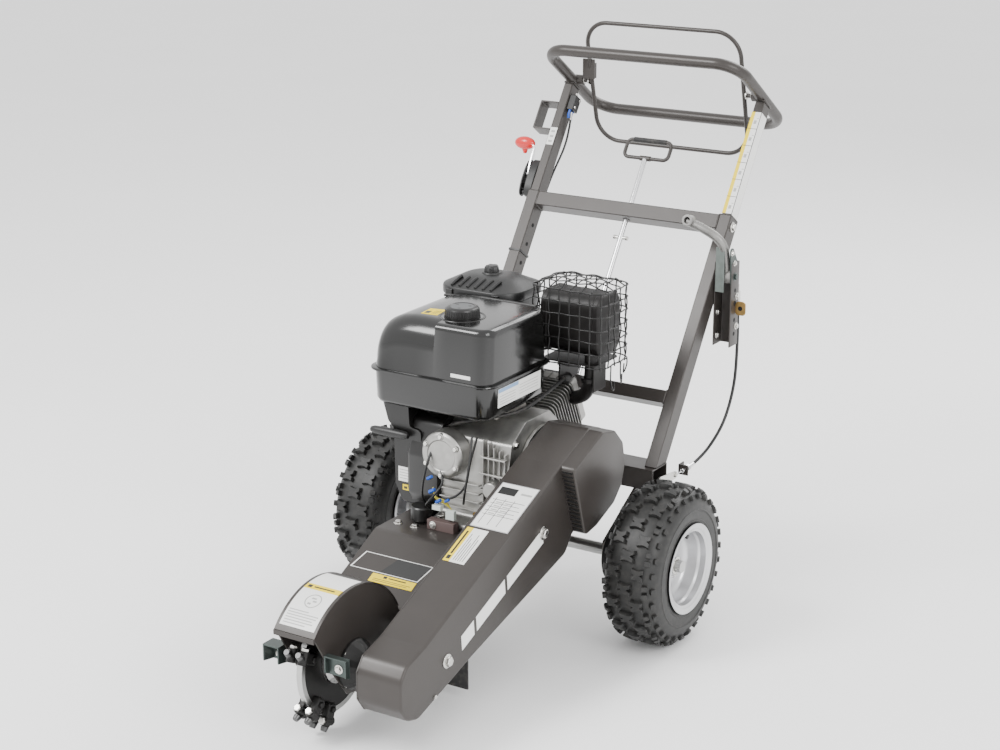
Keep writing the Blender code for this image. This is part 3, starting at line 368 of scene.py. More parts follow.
# ------------------------------------------------------------------ shapes
class Shape:
    """A mesh being made: solids are added one by one, then it becomes a named piece."""

    def __init__(self, finish: Finish) -> None:
        """Start an empty mesh in one finish."""
        self.mesh = bmesh.new()
        self.finishes: list[Finish] = [finish]
        self.current = 0
        self.place = Matrix()

    def use(self, finish: Finish) -> "Shape":
        """Paint the solids that follow in another finish."""
        if finish not in self.finishes:
            self.finishes.append(finish)
        self.current = self.finishes.index(finish)
        return self

    def at(self, place: Optional[Matrix] = None) -> "Shape":
        """Put the solids that follow in a frame of their own."""
        self.place = place or Matrix()
        return self

    def skin(self, rings: Sequence[Sequence[Point]], loop: bool = False, cap: bool = True) -> "Shape":
        """Join rings of points into one closed skin.

        Args:
            rings: rings of equal length, or single points at poles.
            loop: whether the last ring joins the first.
            cap: whether the end rings are filled.

        Returns:
            This shape.
        """
        built = [[self.mesh.verts.new(self.place @ Vector(p)) for p in ring] for ring in rings]
        pairs = list(zip(built[:-1], built[1:]))
        if loop:
            pairs.append((built[-1], built[0]))
        faces = []
        for low, high in pairs:
            count = max(len(low), len(high))
            for i in range(count):
                j = (i + 1) % count
                corners = [low[i % len(low)], low[j % len(low)], high[j % len(high)], high[i % len(high)]]
                corners = [v for k, v in enumerate(corners) if v not in corners[:k]]
                faces.append(self.mesh.faces.new(corners))
        if cap and not loop:
            faces += [self.mesh.faces.new(ring) for ring in (built[0], built[-1]) if len(ring) > 2]
        for face in faces:
            face.material_index = self.current
        return self

    def prism(self, outline: Sequence[Pair], axis: str, low: float, high: float,
            taper: float = 0.0) -> "Shape":
        """Extrude an outline along X, Y or Z, with its far end shrunk by taper.

        Args:
            outline: closed outline across the axis.
            axis: X, Y or Z.
            low: where it starts.
            high: where it ends.
            taper: share by which the far end is smaller.

        Returns:
            This shape.
        """
        middle = Vector((sum(p[0] for p in outline), sum(p[1] for p in outline))) / len(outline)
        small = [tuple(middle + (Vector(p) - middle) * (1 - taper)) for p in outline]
        return self.loft([(low, outline), (high, small)], axis)

    def loft(self, sections: Sequence[tuple[float, Sequence[Pair]]], axis: str) -> "Shape":
        """Join outlines that lie at places along an axis.

        Args:
            sections: pairs of a place along the axis and an outline.
            axis: X, Y or Z.

        Returns:
            This shape.
        """
        return self.skin([[spread(axis, along, a, b) for a, b in outline] for along, outline in sections])

    def box(self, low: Point, high: Point) -> "Shape":
        """Add a block between two corners, to be softened by the piece's bevel."""
        outline = [(low[0], low[1]), (high[0], low[1]), (high[0], high[1]), (low[0], high[1])]
        return self.prism(outline, "Z", low[2], high[2])

    def disc(self, low: float, high: float, radius: float, centre: Pair, axis: str,
            steps: int = 24) -> "Shape":
        """Add a plain turned disc between two places along an axis."""
        return self.lathe([(low, 0), (low, radius), (high, radius), (high, 0)], centre, axis, steps)

    def plate(self, place: Place, corners: Sequence[Pair], lift: float, base: float = 0.0001) -> "Shape":
        """Lay a thin plate on a face.

        Args:
            place: gives the point for two places on the face and a height over it.
            corners: the plate's outline on the face.
            lift: height of its top.
            base: height of its foot.

        Returns:
            This shape.
        """
        return self.skin([[place(a, b, height) for a, b in corners] for height in (base, lift)])

    def marks(self, place: Place, rows: Iterable[tuple], base: float = 0.0001) -> "Shape":
        """Lay thin rectangles on a face.

        Args:
            place: gives the point for two places on the face and a height over it.
            rows: each one's finish, its ends both ways and its height, in millimetres.
            base: height of their feet, in metres.

        Returns:
            This shape.
        """
        for finish, *ends, lift in rows:
            a0, a1, b0, b1 = (end / 1000 for end in ends)
            self.use(finish).plate(place, ((a0, b0), (a1, b0), (a1, b1), (a0, b1)), lift / 1000, base)
        return self

    def lathe(self, profile: Sequence[Pair], centre: Pair, axis: str, steps: int = 48) -> "Shape":
        """Turn a profile of (place along the axis, radius) points.

        Args:
            profile: points of the profile; a radius of 0 makes a pole.
            centre: where the axis is, across it.
            axis: X, Y or Z.
            steps: segments round the axis.

        Returns:
            This shape.
        """
        rings = []
        for along, radius in profile:
            if radius <= 0.0:
                rings.append([spread(axis, along, *centre)])
                continue
            ring = arc(centre, radius, 0, 360, steps)[:-1]
            rings.append([spread(axis, along, a, b) for a, b in ring])
        return self.skin(rings, loop=profile[0][1] > 0.0 or profile[-1][1] > 0.0)

    def tube(self, points: Iterable[Point], radius: float, sides: int = 12, closed: bool = False,
            end_radius: Optional[float] = None) -> "Shape":
        """Sweep a round section along a route.

        Args:
            points: the route.
            radius: radius at its start.
            sides: sides of the section.
            closed: whether the route joins its own start.
            end_radius: radius at its end, if it differs.

        Returns:
            This shape.
        """
        path = [Vector(p) for p in points]
        count = len(path)
        last = radius if end_radius is None else end_radius
        across = None
        rings = []
        for i, here in enumerate(path):
            before = path[i - 1] if (i or closed) else here
            after = path[(i + 1) % count] if (i < count - 1 or closed) else here
            ahead = (after - before).normalized()
            if across is None:
                across = ahead.orthogonal().normalized()
            across = (across - ahead * across.dot(ahead)).normalized()
            side = ahead.cross(across)
            size = radius + (last - radius) * i / max(1, count - 1)
            rings.append([here + across * (size * math.cos(a)) + side * (size * math.sin(a))
                for a in (2 * math.pi * k / sides for k in range(sides))])
        if closed:
            first = rings[0][0] - path[0]
            shift = min(range(sides), key=lambda k: -(rings[-1][k] - path[-1]).dot(first))
            rings[-1] = rings[-1][shift:] + rings[-1][:shift]
            for i in range(1, count - 1):
                part = round(shift * i / (count - 1))
                rings[i] = rings[i][part:] + rings[i][:part]
        return self.skin(rings, loop=closed)

    def bolt(self, point: Point, normal: Point, size: float, washer: bool = True,
            head: float = 0.0) -> "Shape":
        """Add a hexagon head, with its washer, standing on a face.

        Args:
            point: centre of its seat.
            normal: direction that it stands in.
            size: radius across its corners.
            washer: whether it sits on a washer.
            head: height of the head, or 0 for the usual share of its size.

        Returns:
            This shape.
        """
        kept = self.place
        self.place = kept @ frame_at(point, normal)
        thick = size * 0.22 if washer else 0.0
        if washer:
            self.lathe([(0, 0), (0, size * 1.45), (thick * 0.8, size * 1.45), (thick, size * 1.35),
                (thick, 0)], (0, 0), "Z", 24)
        top = thick + (head or size * 0.75)
        ring = [arc((0, 0), r, 0, 360, 6)[:-1] for r in (size, size, size * 0.84)]
        self.loft([(thick, ring[0]), (top - size * 0.14, ring[1]), (top, ring[2])], "Z")
        self.place = kept
        return self

    def piece(self, name: str, slot: Optional[str] = None, replaces: Sequence[str] = (), bevel: float = 0.0,
            sharp: float = 35.0, segments: int = 2, body: str = "chassis") -> bpy.types.Object:
        """Turn the mesh into a named piece that rides on a body.

        Args:
            name: the piece's name.
            slot: the record's material slot, if one fits; not used.
            replaces: frame nodes that it stands for.
            bevel: width of the bevel along its sharp edges.
            sharp: angle in degrees above which an edge is sharp.
            segments: segments of the bevel.
            body: the body that it rides on.

        Returns:
            The piece.
        """
        made = self.free(name, sharp)
        if bevel > 0.0:
            soften(made, bevel, segments)
        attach(made, body)
        if replaces:
            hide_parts(*replaces)
        LOG.info("piece %s on %s, %d faces", name, body, len(made.data.polygons))
        return made

    def free(self, name: str, sharp: float = 35.0) -> bpy.types.Object:
        """Turn the mesh into a named object that rides on nothing yet.

        Args:
            name: the object's name.
            sharp: angle in degrees above which an edge is sharp.

        Returns:
            The object.
        """
        bmesh.ops.recalc_face_normals(self.mesh, faces=self.mesh.faces)
        data = bpy.data.meshes.new(name)
        self.mesh.to_mesh(data)
        self.mesh.free()
        for finish in self.finishes:
            data.materials.append(finish.material())
        data.transform(Matrix.Translation((0, AXLE_Y, 0)))
        data.shade_smooth()
        data.set_sharp_from_angle(angle=math.radians(sharp))
        made = bpy.data.objects.new(name, data)
        bpy.context.scene.collection.objects.link(made)
        return made


def spread(axis: str, along: float, first: float, second: float) -> Vector:
    """Place a point from its distance along an axis and its two coordinates across it."""
    if axis == "X":
        return Vector((along, first, second))
    if axis == "Y":
        return Vector((first, along, second))
    return Vector((first, second, along))


def soften(target: bpy.types.Object, width: float, segments: int = 2) -> None:
    """Round a piece's sharp edges.

    Args:
        target: the piece.
        width: width of the rounding.
        segments: segments across it.
    """
    step = target.modifiers.new("soft_edges", "BEVEL")
    step.width = width
    step.segments = segments
    step.limit_method = "ANGLE"
    step.angle_limit = math.radians(32)
    step.use_clamp_overlap = True
    step.harden_normals = True


def dress(node: str, finish: Finish, bevel: float = 0.0006) -> None:
    """Give a frame node its finish and soften its edges.

    Args:
        node: the node's name.
        finish: its finish.
        bevel: width of the rounding, or 0 for none.
    """
    target = frame["nodes"][node]
    target.data.materials.clear()
    target.data.materials.append(finish.material())
    if bevel > 0.0:
        weld = target.modifiers.new("weld", "WELD")
        weld.merge_threshold = 0.00002
        soften(target, bevel)
    LOG.info("node %s in %s", node, finish.name)


def leaning(x: float, along: float, depth: float) -> Vector:
    """Place a point by its distance along the lean and its depth behind the front plane."""
    return Vector((x, LEAN_Y + along * math.sin(LEAN) + depth * math.cos(LEAN), along * math.cos(LEAN)
        - depth * math.sin(LEAN)))


LEAN = math.radians(33.9)
LEAN_Y = -0.1042
ALONG = Vector((0, math.sin(LEAN), math.cos(LEAN)))     # up the handle frame
BEHIND = Vector((0, math.cos(LEAN), -math.sin(LEAN)))   # square to it, towards the operator


# ------------------------------------------------------------------ wheels
@dataclass
class Wheel:
    """One knobbly tyre on its dished rim."""

    side: int  # -1 for the left wheel and 1 for the right one
    word: str  # left or right
    plane: float = 0.3265  # distance of the wheel's middle plane from the machine's
    pitches: int = 15  # number of tread pitches round the tyre
    knob_depth: float = 0.01  # height of the tread knobs
    crown: Outline = field(default_factory=lambda: pairs(0, 165, 20, 164.5, 40, 162, 50, 156, 57, 148, 60.5,
        138, 62.5, 125, 62.2, 110))
    bone: Outline = field(default_factory=lambda: [(-1.0, 1.0), (-0.25, 0.78), (0.25, 0.78), (1.0, 1.0),
        (1.0, 0.32), (0.48, 0.0), (1.0, -0.32), (1.0, -1.0), (0.25, -0.78), (-0.25, -0.78), (-1.0, -1.0),
        (-1.0, -0.32), (-0.48, 0.0), (-1.0, 0.32)])

    @property
    def body(self) -> str:
        """Return the body that the wheel turns with."""
        return "wheel_" + self.word

    def on_crown(self, across: float, depth: float) -> Pair:
        """Find a place under the tread's outer face.

        Args:
            across: distance from the middle along the outer face, signed.
            depth: how deep under that face.

        Returns:
            Its distance from the middle plane and from the axle.
        """
        left = abs(across)
        for (x0, r0), (x1, r1) in zip(self.crown[:-1], self.crown[1:]):
            length = math.hypot(x1 - x0, r1 - r0)
            if left <= length or (x1, r1) == self.crown[-1]:
                share = left / length
                normal = Vector((r0 - r1, x1 - x0)) / length
                x = x0 + (x1 - x0) * share - normal.x * depth
                r = r0 + (r1 - r0) * share - normal.y * depth
                return (math.copysign(x, across), r)
            left -= length
        return self.crown[-1]

    def knob(self, shape: Shape, outline: Outline, across: float, turn: float, half: Pair) -> None:
        """Add one tread knob with drafted sides.

        Args:
            shape: the tyre being made.
            outline: the knob's outline, from -1 to 1 both ways.
            across: place of its middle across the tread.
            turn: place of its middle round the tyre, in radians.
            half: half its width and half its length.
        """
        rings = []
        for scale, depth in ((1.1, self.knob_depth), (0.99, 0.0016), (0.9, 0.0)):
            ring = []
            for u, v in outline:
                x, r = self.on_crown(across + u * half[0] * scale, depth)
                angle = turn + v * half[1] * scale / self.crown[0][1]
                ring.append((self.side * self.plane + x, r * math.cos(angle), AXLE_Z + r * math.sin(angle)))
            rings.append(ring)
        shape.skin(rings)

    def tyre(self) -> None:
        """Make the carcass with its bead and rib rings, and the tread knobs on it."""
        half = pairs(0, 156, 20, 155.6, 38, 153, 48, 146.8, 55.2, 138.5, 59.2, 128.5, 60.4, 121.5, 61.8, 120,
            61.8, 118.5, 60.4, 117, 61, 108, 60.2, 101, 61.2, 99, 60, 95.5, 58.5, 91, 57, 83, 54.5, 77, 46.5,
            77, 53, 125, 44, 148, 0, 152)
        middle = self.side * self.plane
        profile = [(middle + x, r) for x, r in half] + [(middle - x, r) for x, r in half[-2:0:-1]]
        shape = Shape(RUBBER).lathe(profile, (0, AXLE_Z), "X", 90)
        pitch = 2 * math.pi / self.pitches
        lug = rounded((-1, -1), (1, 1), 0.45, 2)
        for k in range(self.pitches):
            for phase, across, half_size in ((0.0, -0.0265, (0.0125, 0.0125)),
                    (0.0, 0.0265, (0.0125, 0.0125)), (0.5, 0.0, (0.0135, 0.0125))):
                self.knob(shape, self.bone, across, (k + phase) * pitch, half_size)
            for side in (-1, 1):
                for nudge in (-0.0085, 0.0085):
                    turn = (k + 0.5) * pitch + nudge / self.crown[0][1]
                    self.knob(shape, lug, side * 0.0445, turn, (0.0062, 0.0055))
                for step in (0.0, 0.5):
                    self.knob(shape, lug, side * (0.0625 + 0.004 * step), (k + step) * pitch,
                        (0.006, 0.0065))
        shape.piece("tyre_tread_" + self.word, "tyre", ["tyre_" + self.word], sharp=28, body=self.body)

    def rim(self) -> None:
        """Make the rim with its rolled lip, stepped well and dished disc."""
        face = pairs(-45, 12.9, 30, 12.9, 30.2, 20, 28.5, 22, 7, 23.5, 5, 26, 4.8, 33, 7.5, 45, 10.5, 57, 13,
            64, 16.5, 68.5, 22, 70.8, 40, 71.8, 43, 72.8, 46.5, 75.8, 52, 77.2, 58, 78.2, 61.2, 80.5, 62.8,
            85, 63.3, 88.5, 64.5, 90, 64.5, 91.5, 63.7, 92.3, 62.2, 92, 61.5, 89.5, 60.8, 83, 60, 78.5, 58.5,
            75.5)
        back = pairs(-58.5, 75.5, -60, 78.5, -60.8, 83, -61.5, 89.5, -62.2, 92, -63.7, 92.3, -64.5, 91.5,
            -64.5, 90, -63.3, 88.5, -62.8, 85, -61.2, 80.5, -58, 78.2, -52, 77.2, -46.5, 75.8, -43, 72.8,
            -40, 71.8, -6, 70, 6, 66.5, 7.2, 56, 4.5, 45, 1.8, 33, 1, 24, -45, 22)
        profile = [(self.side * (self.plane + x), r) for x, r in face + back]
        shape = Shape(SILVER).lathe(profile, (0, AXLE_Z), "X", 96)
        shape.piece("dished_rim_" + self.word, "rim", ["rim_" + self.word], sharp=50, body=self.body)
        self.fittings()

    def fittings(self) -> None:
        """Make the valve stem, the disc's studs and the retaining washer on the axle's end."""
        stem = Shape(SHEET_RUBBER)
        angle = math.radians(68)
        outward = Vector((0, math.cos(angle), math.sin(angle)))
        foot = Vector((self.side * (self.plane + 0.017), 0, AXLE_Z)) + outward * 0.066
        tip = foot + Vector((self.side * 0.027, 0, 0)) - outward * 0.006
        ahead = tip - foot
        stem.tube([foot - ahead * 0.1, foot + ahead * 0.2], 0.0075, 16, end_radius=0.0055)
        stem.tube([foot + ahead * 0.15, foot + ahead * 0.62], 0.0046, 16)
        stem.use(PLASTIC).tube([foot + ahead * 0.6, foot + ahead * 0.95, tip], 0.005, 12, end_radius=0.0042)
        stem.piece("valve_stem_" + self.word, bevel=0.0004, body=self.body)
        studs = Shape(ZINC)
        for k in range(4):
            turn = math.radians(45 + 90 * k)
            seat = (self.side * (self.plane + 0.0078), 0.045 * math.cos(turn),
                AXLE_Z + 0.045 * math.sin(turn))
            studs.bolt(seat, (self.side, 0, 0), 0.007)
        studs.piece("hub_studs_" + self.word, bevel=0.0004, body=self.body)
        washer = Shape(ZINC)
        start = self.plane + 0.0304
        washer.lathe([(self.side * (start + x), r) for x, r in ((0, 0.0131), (0, 0.019), (0.0022, 0.019),
            (0.0026, 0.018), (0.0026, 0.0131))], (0, AXLE_Z), "X", 32)
        pin_x = self.side * (self.plane + 0.0385)
        ends = [(pin_x, -0.019, AXLE_Z), (pin_x, 0.019, AXLE_Z)]
        washer.tube(ends, 0.0016, 10)
        washer.piece("axle_washer_" + self.word, "bare_steel", bevel=0.0003)

    def build(self) -> None:
        """Make the whole wheel."""
        self.tyre()
        self.rim()


# ------------------------------------------------------------------ handle frame
@dataclass
class HandleFrame:
    """The leaning uprights, crossbars and the closed grip loop above them."""

    inner: float = 0.2226  # inner face of each upright
    outer: float = 0.2496  # outer face of each upright
    depth: float = 0.0407  # depth of the uprights
    loop_along: float = 1.223  # height of the loop along the lean
    loop_depth: Pair = (-0.1404, 0.1524)  # the loop's front and rear bars, behind the front plane
    loop_x: float = 0.234  # half width of the loop
    loop_corner: float = 0.055  # corner radius of the loop
    loop_radius: float = 0.0125
    pivot: Pair = (0.595, 1.009)  # the bail's pivot in Y and Z

    def loop(self) -> None:
        """Make the grip loop, its welded seams and the bail's bushes."""
        outline = rounded((-self.loop_x, self.loop_depth[0]), (self.loop_x, self.loop_depth[1]),
            self.loop_corner, 14)
        shape = Shape(PAINT)
        shape.tube([leaning(x, self.loop_along, d) for x, d in outline], self.loop_radius, 28, closed=True)
        for side in (-1, 1):
            ends = (side * 0.208, side * (self.loop_x - 0.004))
            shape.lathe([(ends[0], 0.0053), (ends[0], 0.0105), (ends[0] + side * 0.0008, 0.0112),
                (ends[1], 0.0112), (ends[1], 0.0053)], self.pivot, "X", 32)
            low = self.loop_along - self.loop_radius + 0.0022
            edge = rounded((self.inner + 0.0028, 0.0028), (self.outer - 0.0028, self.depth - 0.0028), 0.002,
                3)
            bead = [leaning(side * x, low, d) for x, d in edge]
            shape.tube(bead, 0.0024, 8, closed=True)
        shape.piece("grip_loop", "frame_paint", ["handle_loop"], sharp=50)

    def tubes(self) -> None:
        """Finish the frame's plain tubes, and make near-black discs as painted shade in their holes, and
        their weld beads.
        """
        for node in ("upright_left", "upright_right", "handle_tube_left", "handle_tube_right",
                "upper_crossbar", "lower_crossbar", "cross_beam"):
            dress(node, PAINT, 0.0024)
        # Thin near-black discs on the uprights' inner faces: painted shade inside the height holes.
        marks = Shape(PAINTED_HOLE_SHADE)
        for side in (-1, 1):
            for step in range(5):
                spot = leaning(side * (self.inner - 0.0001), 0.69 + 0.045 * step, self.depth / 2)
                marks.lathe([(spot.x - side * 0.0004, 0), (spot.x - side * 0.0004, 0.0045),
                    (spot.x + side * 0.0002, 0.0045), (spot.x + side * 0.0002, 0)], (spot.y, spot.z), "X",
                    20)
        marks.piece("height_hole_shade")
        beads = Shape(PAINT)
        for side in (-1, 1):
            for low, high in ((0.9133, 0.9458), (0.52, 0.548)):
                edge = [(low, 0.001), (low, self.depth - 0.001), (high, self.depth - 0.001), (high, 0.001)]
                x = side * (self.inner - 0.0012)
                beads.tube([leaning(x, s, d) for s, d in filleted(edge, 0.004, 3)], 0.0021, 8, closed=True)
        beads.piece("crossbar_welds", "frame_paint", sharp=50)

    def fasteners(self) -> None:
        """Make the clamp bolts of the sliding tubes and the bail's end washers."""
        shape = Shape(ZINC)
        for side in (-1, 1):
            seat = leaning(side * (self.outer + 0.0001), 0.927, self.depth / 2)
            shape.bolt(seat, (side, 0, 0), 0.0075)
            shape.lathe([(side * 0.206, 0), (side * 0.206, 0.0078), (side * 0.2076, 0.0078),
                (side * 0.2076, 0)], self.pivot, "X", 24)
        shape.piece("frame_bolts", "bare_steel", bevel=0.0004)

    def labels(self) -> None:
        """Make the plain plates on the uprights: a banded strip on the right, a small one on the left."""

        def ahead(x: float, along: float, lift: float) -> Point:
            """Place a point on the front face of a sliding tube."""
            return leaning(x, along, 0.0028 - lift)

        def beside(along: float, depth: float, lift: float) -> Point:
            """Place a point on the outer face of the right sliding tube."""
            return leaning(self.outer - 0.0026 + lift, along, depth)

        near, far = 1000 * self.inner + 2.9, 1000 * self.outer - 2.9
        low, high, panels = 949, 1185, 6
        rows = [(WHITE_PRINT, near, far, low, high, 0.4), (YELLOW_PRINT, near, near + 8, low, high, 0.6)]
        for k in range(panels):
            start = low + (high - low) * k / panels
            rows += [(BLACK_PRINT, near, far, start, start + 1, 0.7), (GREY_PRINT, near + 10.5, near + 16.5,
                start + 12, start + 20, 0.6), (GREY_PRINT, near + 15, far - 1.5, start + 24, start + 25.5,
                0.6)]
        strip = Shape(WHITE_PRINT).marks(ahead, rows, 0.0)
        strip.marks(beside, [(WHITE_PRINT, low, high, 5, 34, 0.4)], 0.0).piece("upright_plate_right")
        rows = [(WHITE_PRINT, 2 - far, -near - 2, 1058, 1100, 0.4)]
        rows += [(GREY_PRINT, 6 - far, -near - 6, 1064 + 12 * k, 1069 + 12 * k, 0.6) for k in range(3)]
        Shape(WHITE_PRINT).marks(ahead, rows, 0.0).piece("upright_plate_left")

    def build(self) -> None:
        """Make the whole frame."""
        self.loop()
        self.tubes()
        self.fasteners()
        self.labels()


@dataclass
class Bail:
    """The closed operator presence bail."""

    top: Pair = (0.5605, 1.1452)  # Y and Z of its top bar
    low: Pair = (0.6295, 0.872)  # Y and Z of its low bar
    half_width: float = 0.188  # half its width
    radius: float = 0.0048
    corner: float = 0.055
    pivot: Pair = (0.595, 1.009)  # Y and Z of its pins

    def build(self) -> None:
        """Make the bail with its two pins."""
        top, low = Vector(self.top), Vector(self.low)
        step = (low - top).normalized()
        outline = rounded((-self.half_width, 0), (self.half_width, (low - top).length), self.corner, 12)
        points = [(x, *(top + step * t)) for x, t in outline]
        shape = Shape(PAINT).tube(points, self.radius, 16, closed=True)
        for side in (-1, 1):
            shape.lathe([(side * (self.half_width - 0.001), 0), (side * (self.half_width - 0.001),
                self.radius), (side * 0.218, self.radius), (side * 0.218, 0)], self.pivot, "X", 24)
            shape.use(ZINC).lathe([(side * x, r) for x, r in ((0.193, 0), (0.193, 0.0085), (0.1955, 0.0085),
                (0.1955, 0))], self.pivot, "X", 24).use(PAINT)
        y, z = self.pivot
        for low, high in (((-0.206, y - 0.012, z + 0.006), (-0.176, y - 0.009, z + 0.05)),
                ((-0.1835, y - 0.009, z + 0.006), (-0.1805, y + 0.006, z + 0.04))):
            shape.box(low, high)
        shape.piece("bail_rod", "frame_paint", ["bail"], sharp=50, body="bail")


# ------------------------------------------------------------------ controls
@dataclass
class Controls:
    """The throttle, presence switch, pull rod, strap bracket and the cables."""

    lever_x: float = -0.2735  # outer face of the throttle lever's blade
    rod_depth: float = 0.02035  # the pull rod's place behind the front plane
    rod_radius: float = 0.006  # radius of the pull rod

    def throttle(self) -> None:
        """Make the throttle's housing, its bright blade and its oval knob."""
        centre = leaning(0, 0.979, 0.019)
        half = [tuple(leaning(0, 0.979 + a * 0.044, 0.019 + b * 0.017)[1:]) for a, b in rounded((-1, -1),
            (1, 1), 0.85, 8)]
        body = Shape(PLASTIC).prism(half, "X", -0.2471, -0.266)
        inner = [tuple(Vector(centre[1:]) + (Vector(p) - Vector(centre[1:])) * 0.8) for p in half]
        body.prism(inner, "X", -0.2655, -0.269)
        body.prism(half, "X", -0.2745, -0.2785)
        for s in (0.945, 0.96):
            spacer = leaning(0, s, 0.019)
            body.tube([(-0.268, spacer.y, spacer.z), (-0.275, spacer.y, spacer.z)], 0.006, 16)
        body.piece("throttle_shell", "black_plastic", ["throttle_housing"], bevel=0.0016, segments=3)
        pivot = leaning(0, 0.99, 0.019)
        fixings = Shape(ZINC).bolt((-0.2786, pivot.y, pivot.z), (-1, 0, 0), 0.0052)
        fixings.piece("throttle_pivot_bolt", bevel=0.0003, body="throttle")
        blade = Shape(CHROME)
        outline = filleted([tuple(leaning(0, s, d)[1:]) for s, d in ((0.98, 0.01), (0.98, 0.028),
            (1.05, 0.009), (1.05, 0.001))], 0.004)
        blade.prism(outline, "X", self.lever_x, -0.27)
        end = leaning(0, 1.05, 0.005)
        blade.tube([(-0.2718, end.y, end.z), (-0.276, end.y, end.z + 0.002), (-0.29, end.y, end.z + 0.003),
            (-0.298, end.y, end.z + 0.004)], 0.0026, 12)
        blade.piece("throttle_blade", "chrome", ["throttle_lever"], bevel=0.0005, body="throttle")
        seat = leaning(-0.299, 1.056, 0.005)
        knob = Shape(RED_PLASTIC)
        rings = []
        for share in range(15):
            angle = math.pi * (share / 14 - 0.5)
            reach = max(0.0, math.cos(angle))
            height = 0.015 * math.sin(angle)
            if reach < 1e-6:
                rings.append([seat + Vector((0, 0, height))])
                continue
            oval = [(0.026 * reach * math.cos(t), 0.013 * reach * math.sin(t))
                for t in (2 * math.pi * k / 36 for k in range(36))]
            rings.append([seat + Vector((u, v, height)) for u, v in oval])
        knob.skin(rings)
        knob.lathe([(seat.z - 0.012, 0.0), (seat.z - 0.023, 0.004), (seat.z - 0.0125, 0.0074),
            (seat.z, 0.0)], (seat.x, seat.y), "Z", 20)
        knob.piece("throttle_knob", sharp=70, body="throttle")

    def switch(self) -> None:
        """Make the presence switch with its plunger and blue terminals."""
        shape = Shape(PLASTIC)
        corners = [(1.15, 0.008), (1.15, 0.032), (1.185, 0.032), (1.185, 0.008)]
        shape.prism([tuple(leaning(0, s, d)[1:]) for s, d in corners], "X", -0.2251, -0.209)
        shape.piece("switch_body", "black_plastic", ["presence_switch"], bevel=0.0012)
        detail = Shape(BLUE_PLASTIC)
        for depth in (0.012, 0.025):
            start = leaning(-0.217, 1.15, depth)
            detail.tube([start, start - ALONG * 0.012, start - ALONG * 0.018 + BEHIND * 0.004], 0.003, 10)
        detail.use(ZINC).tube([leaning(-0.217, 1.185, 0.02), leaning(-0.217, 1.193, 0.02)], 0.003, 12)
        for s, d in ((1.157, 0.014), (1.178, 0.026)):
            detail.bolt(leaning(-0.2089, s, d), (1, 0, 0), 0.0032, washer=False)
        detail.piece("switch_terminals", bevel=0.0002)

    def pull_rod(self) -> None:
        """Make the plated rod, its cross pin and collar, and the D grip on top."""
        rod = Shape(CHROME)
        rod.tube([leaning(0, s, self.rod_depth) for s in (0.47, 0.7, 1.056)], self.rod_radius, 24)
        rod.use(ZINC).tube([leaning(x, 0.87, self.rod_depth) for x in (-0.0175, 0.0175)], 0.0036, 14)
        for side in (-1, 1):
            rod.tube([leaning(side * x, 0.87, self.rod_depth) for x in (0.012, 0.0172)], 0.0052, 6)
        rod.tube([leaning(0, s, self.rod_depth) for s in (0.4705, 0.479)], 0.0098, 24)
        rod.piece("plated_rod", "chrome", ["pull_rod"], bevel=0.0006, sharp=50, body="pull_handle")
        grip = Shape(PAINT)
        outline = rounded((-0.054, 1.058), (0.054, 1.1), 0.012, 8)
        grip.tube([leaning(x, s, self.rod_depth) for x, s in outline], 0.0042, 14, closed=True)
        grip.tube([leaning(x, 1.058, self.rod_depth) for x in (-0.013, 0.013)], 0.0058, 18)
        grip.use(SHEET_RUBBER).tube([leaning(x, 1.1, self.rod_depth) for x in (-0.04, 0.04)], 0.0056, 20)
        grip.piece("pull_grip", "frame_paint", bevel=0.0008, sharp=50, body="pull_handle")
        guides = Shape(PLASTIC)
        for s in (0.9462, 0.5484):
            place = frame_at(leaning(0, s, self.rod_depth), ALONG)
            guides.at(place).lathe(pairs(0, 6.4, 0, 11.5, 2.2, 11, 3, 9, 3, 6.4), (0, 0), "Z", 28)
        guides.at().piece("rod_guides", "black_plastic", sharp=50)

    def strap(self) -> None:
        """Make the bent tie-down bracket on the left tube."""
        outline = filleted([(-0.292, 1.094), (-0.2471, 1.094), (-0.2471, 1.0975), (-0.2885, 1.0975),
            (-0.2885, 1.1595), (-0.2471, 1.1595), (-0.2471, 1.163), (-0.292, 1.163)], 0.0028, 3)
        shape = Shape(PAINT)
        shape.skin([[leaning(x, s, d) for x, s in outline] for d in (0.003, 0.038)])
        shape.piece("tie_bracket", "frame_paint", ["strap_bracket"], bevel=0.0004)

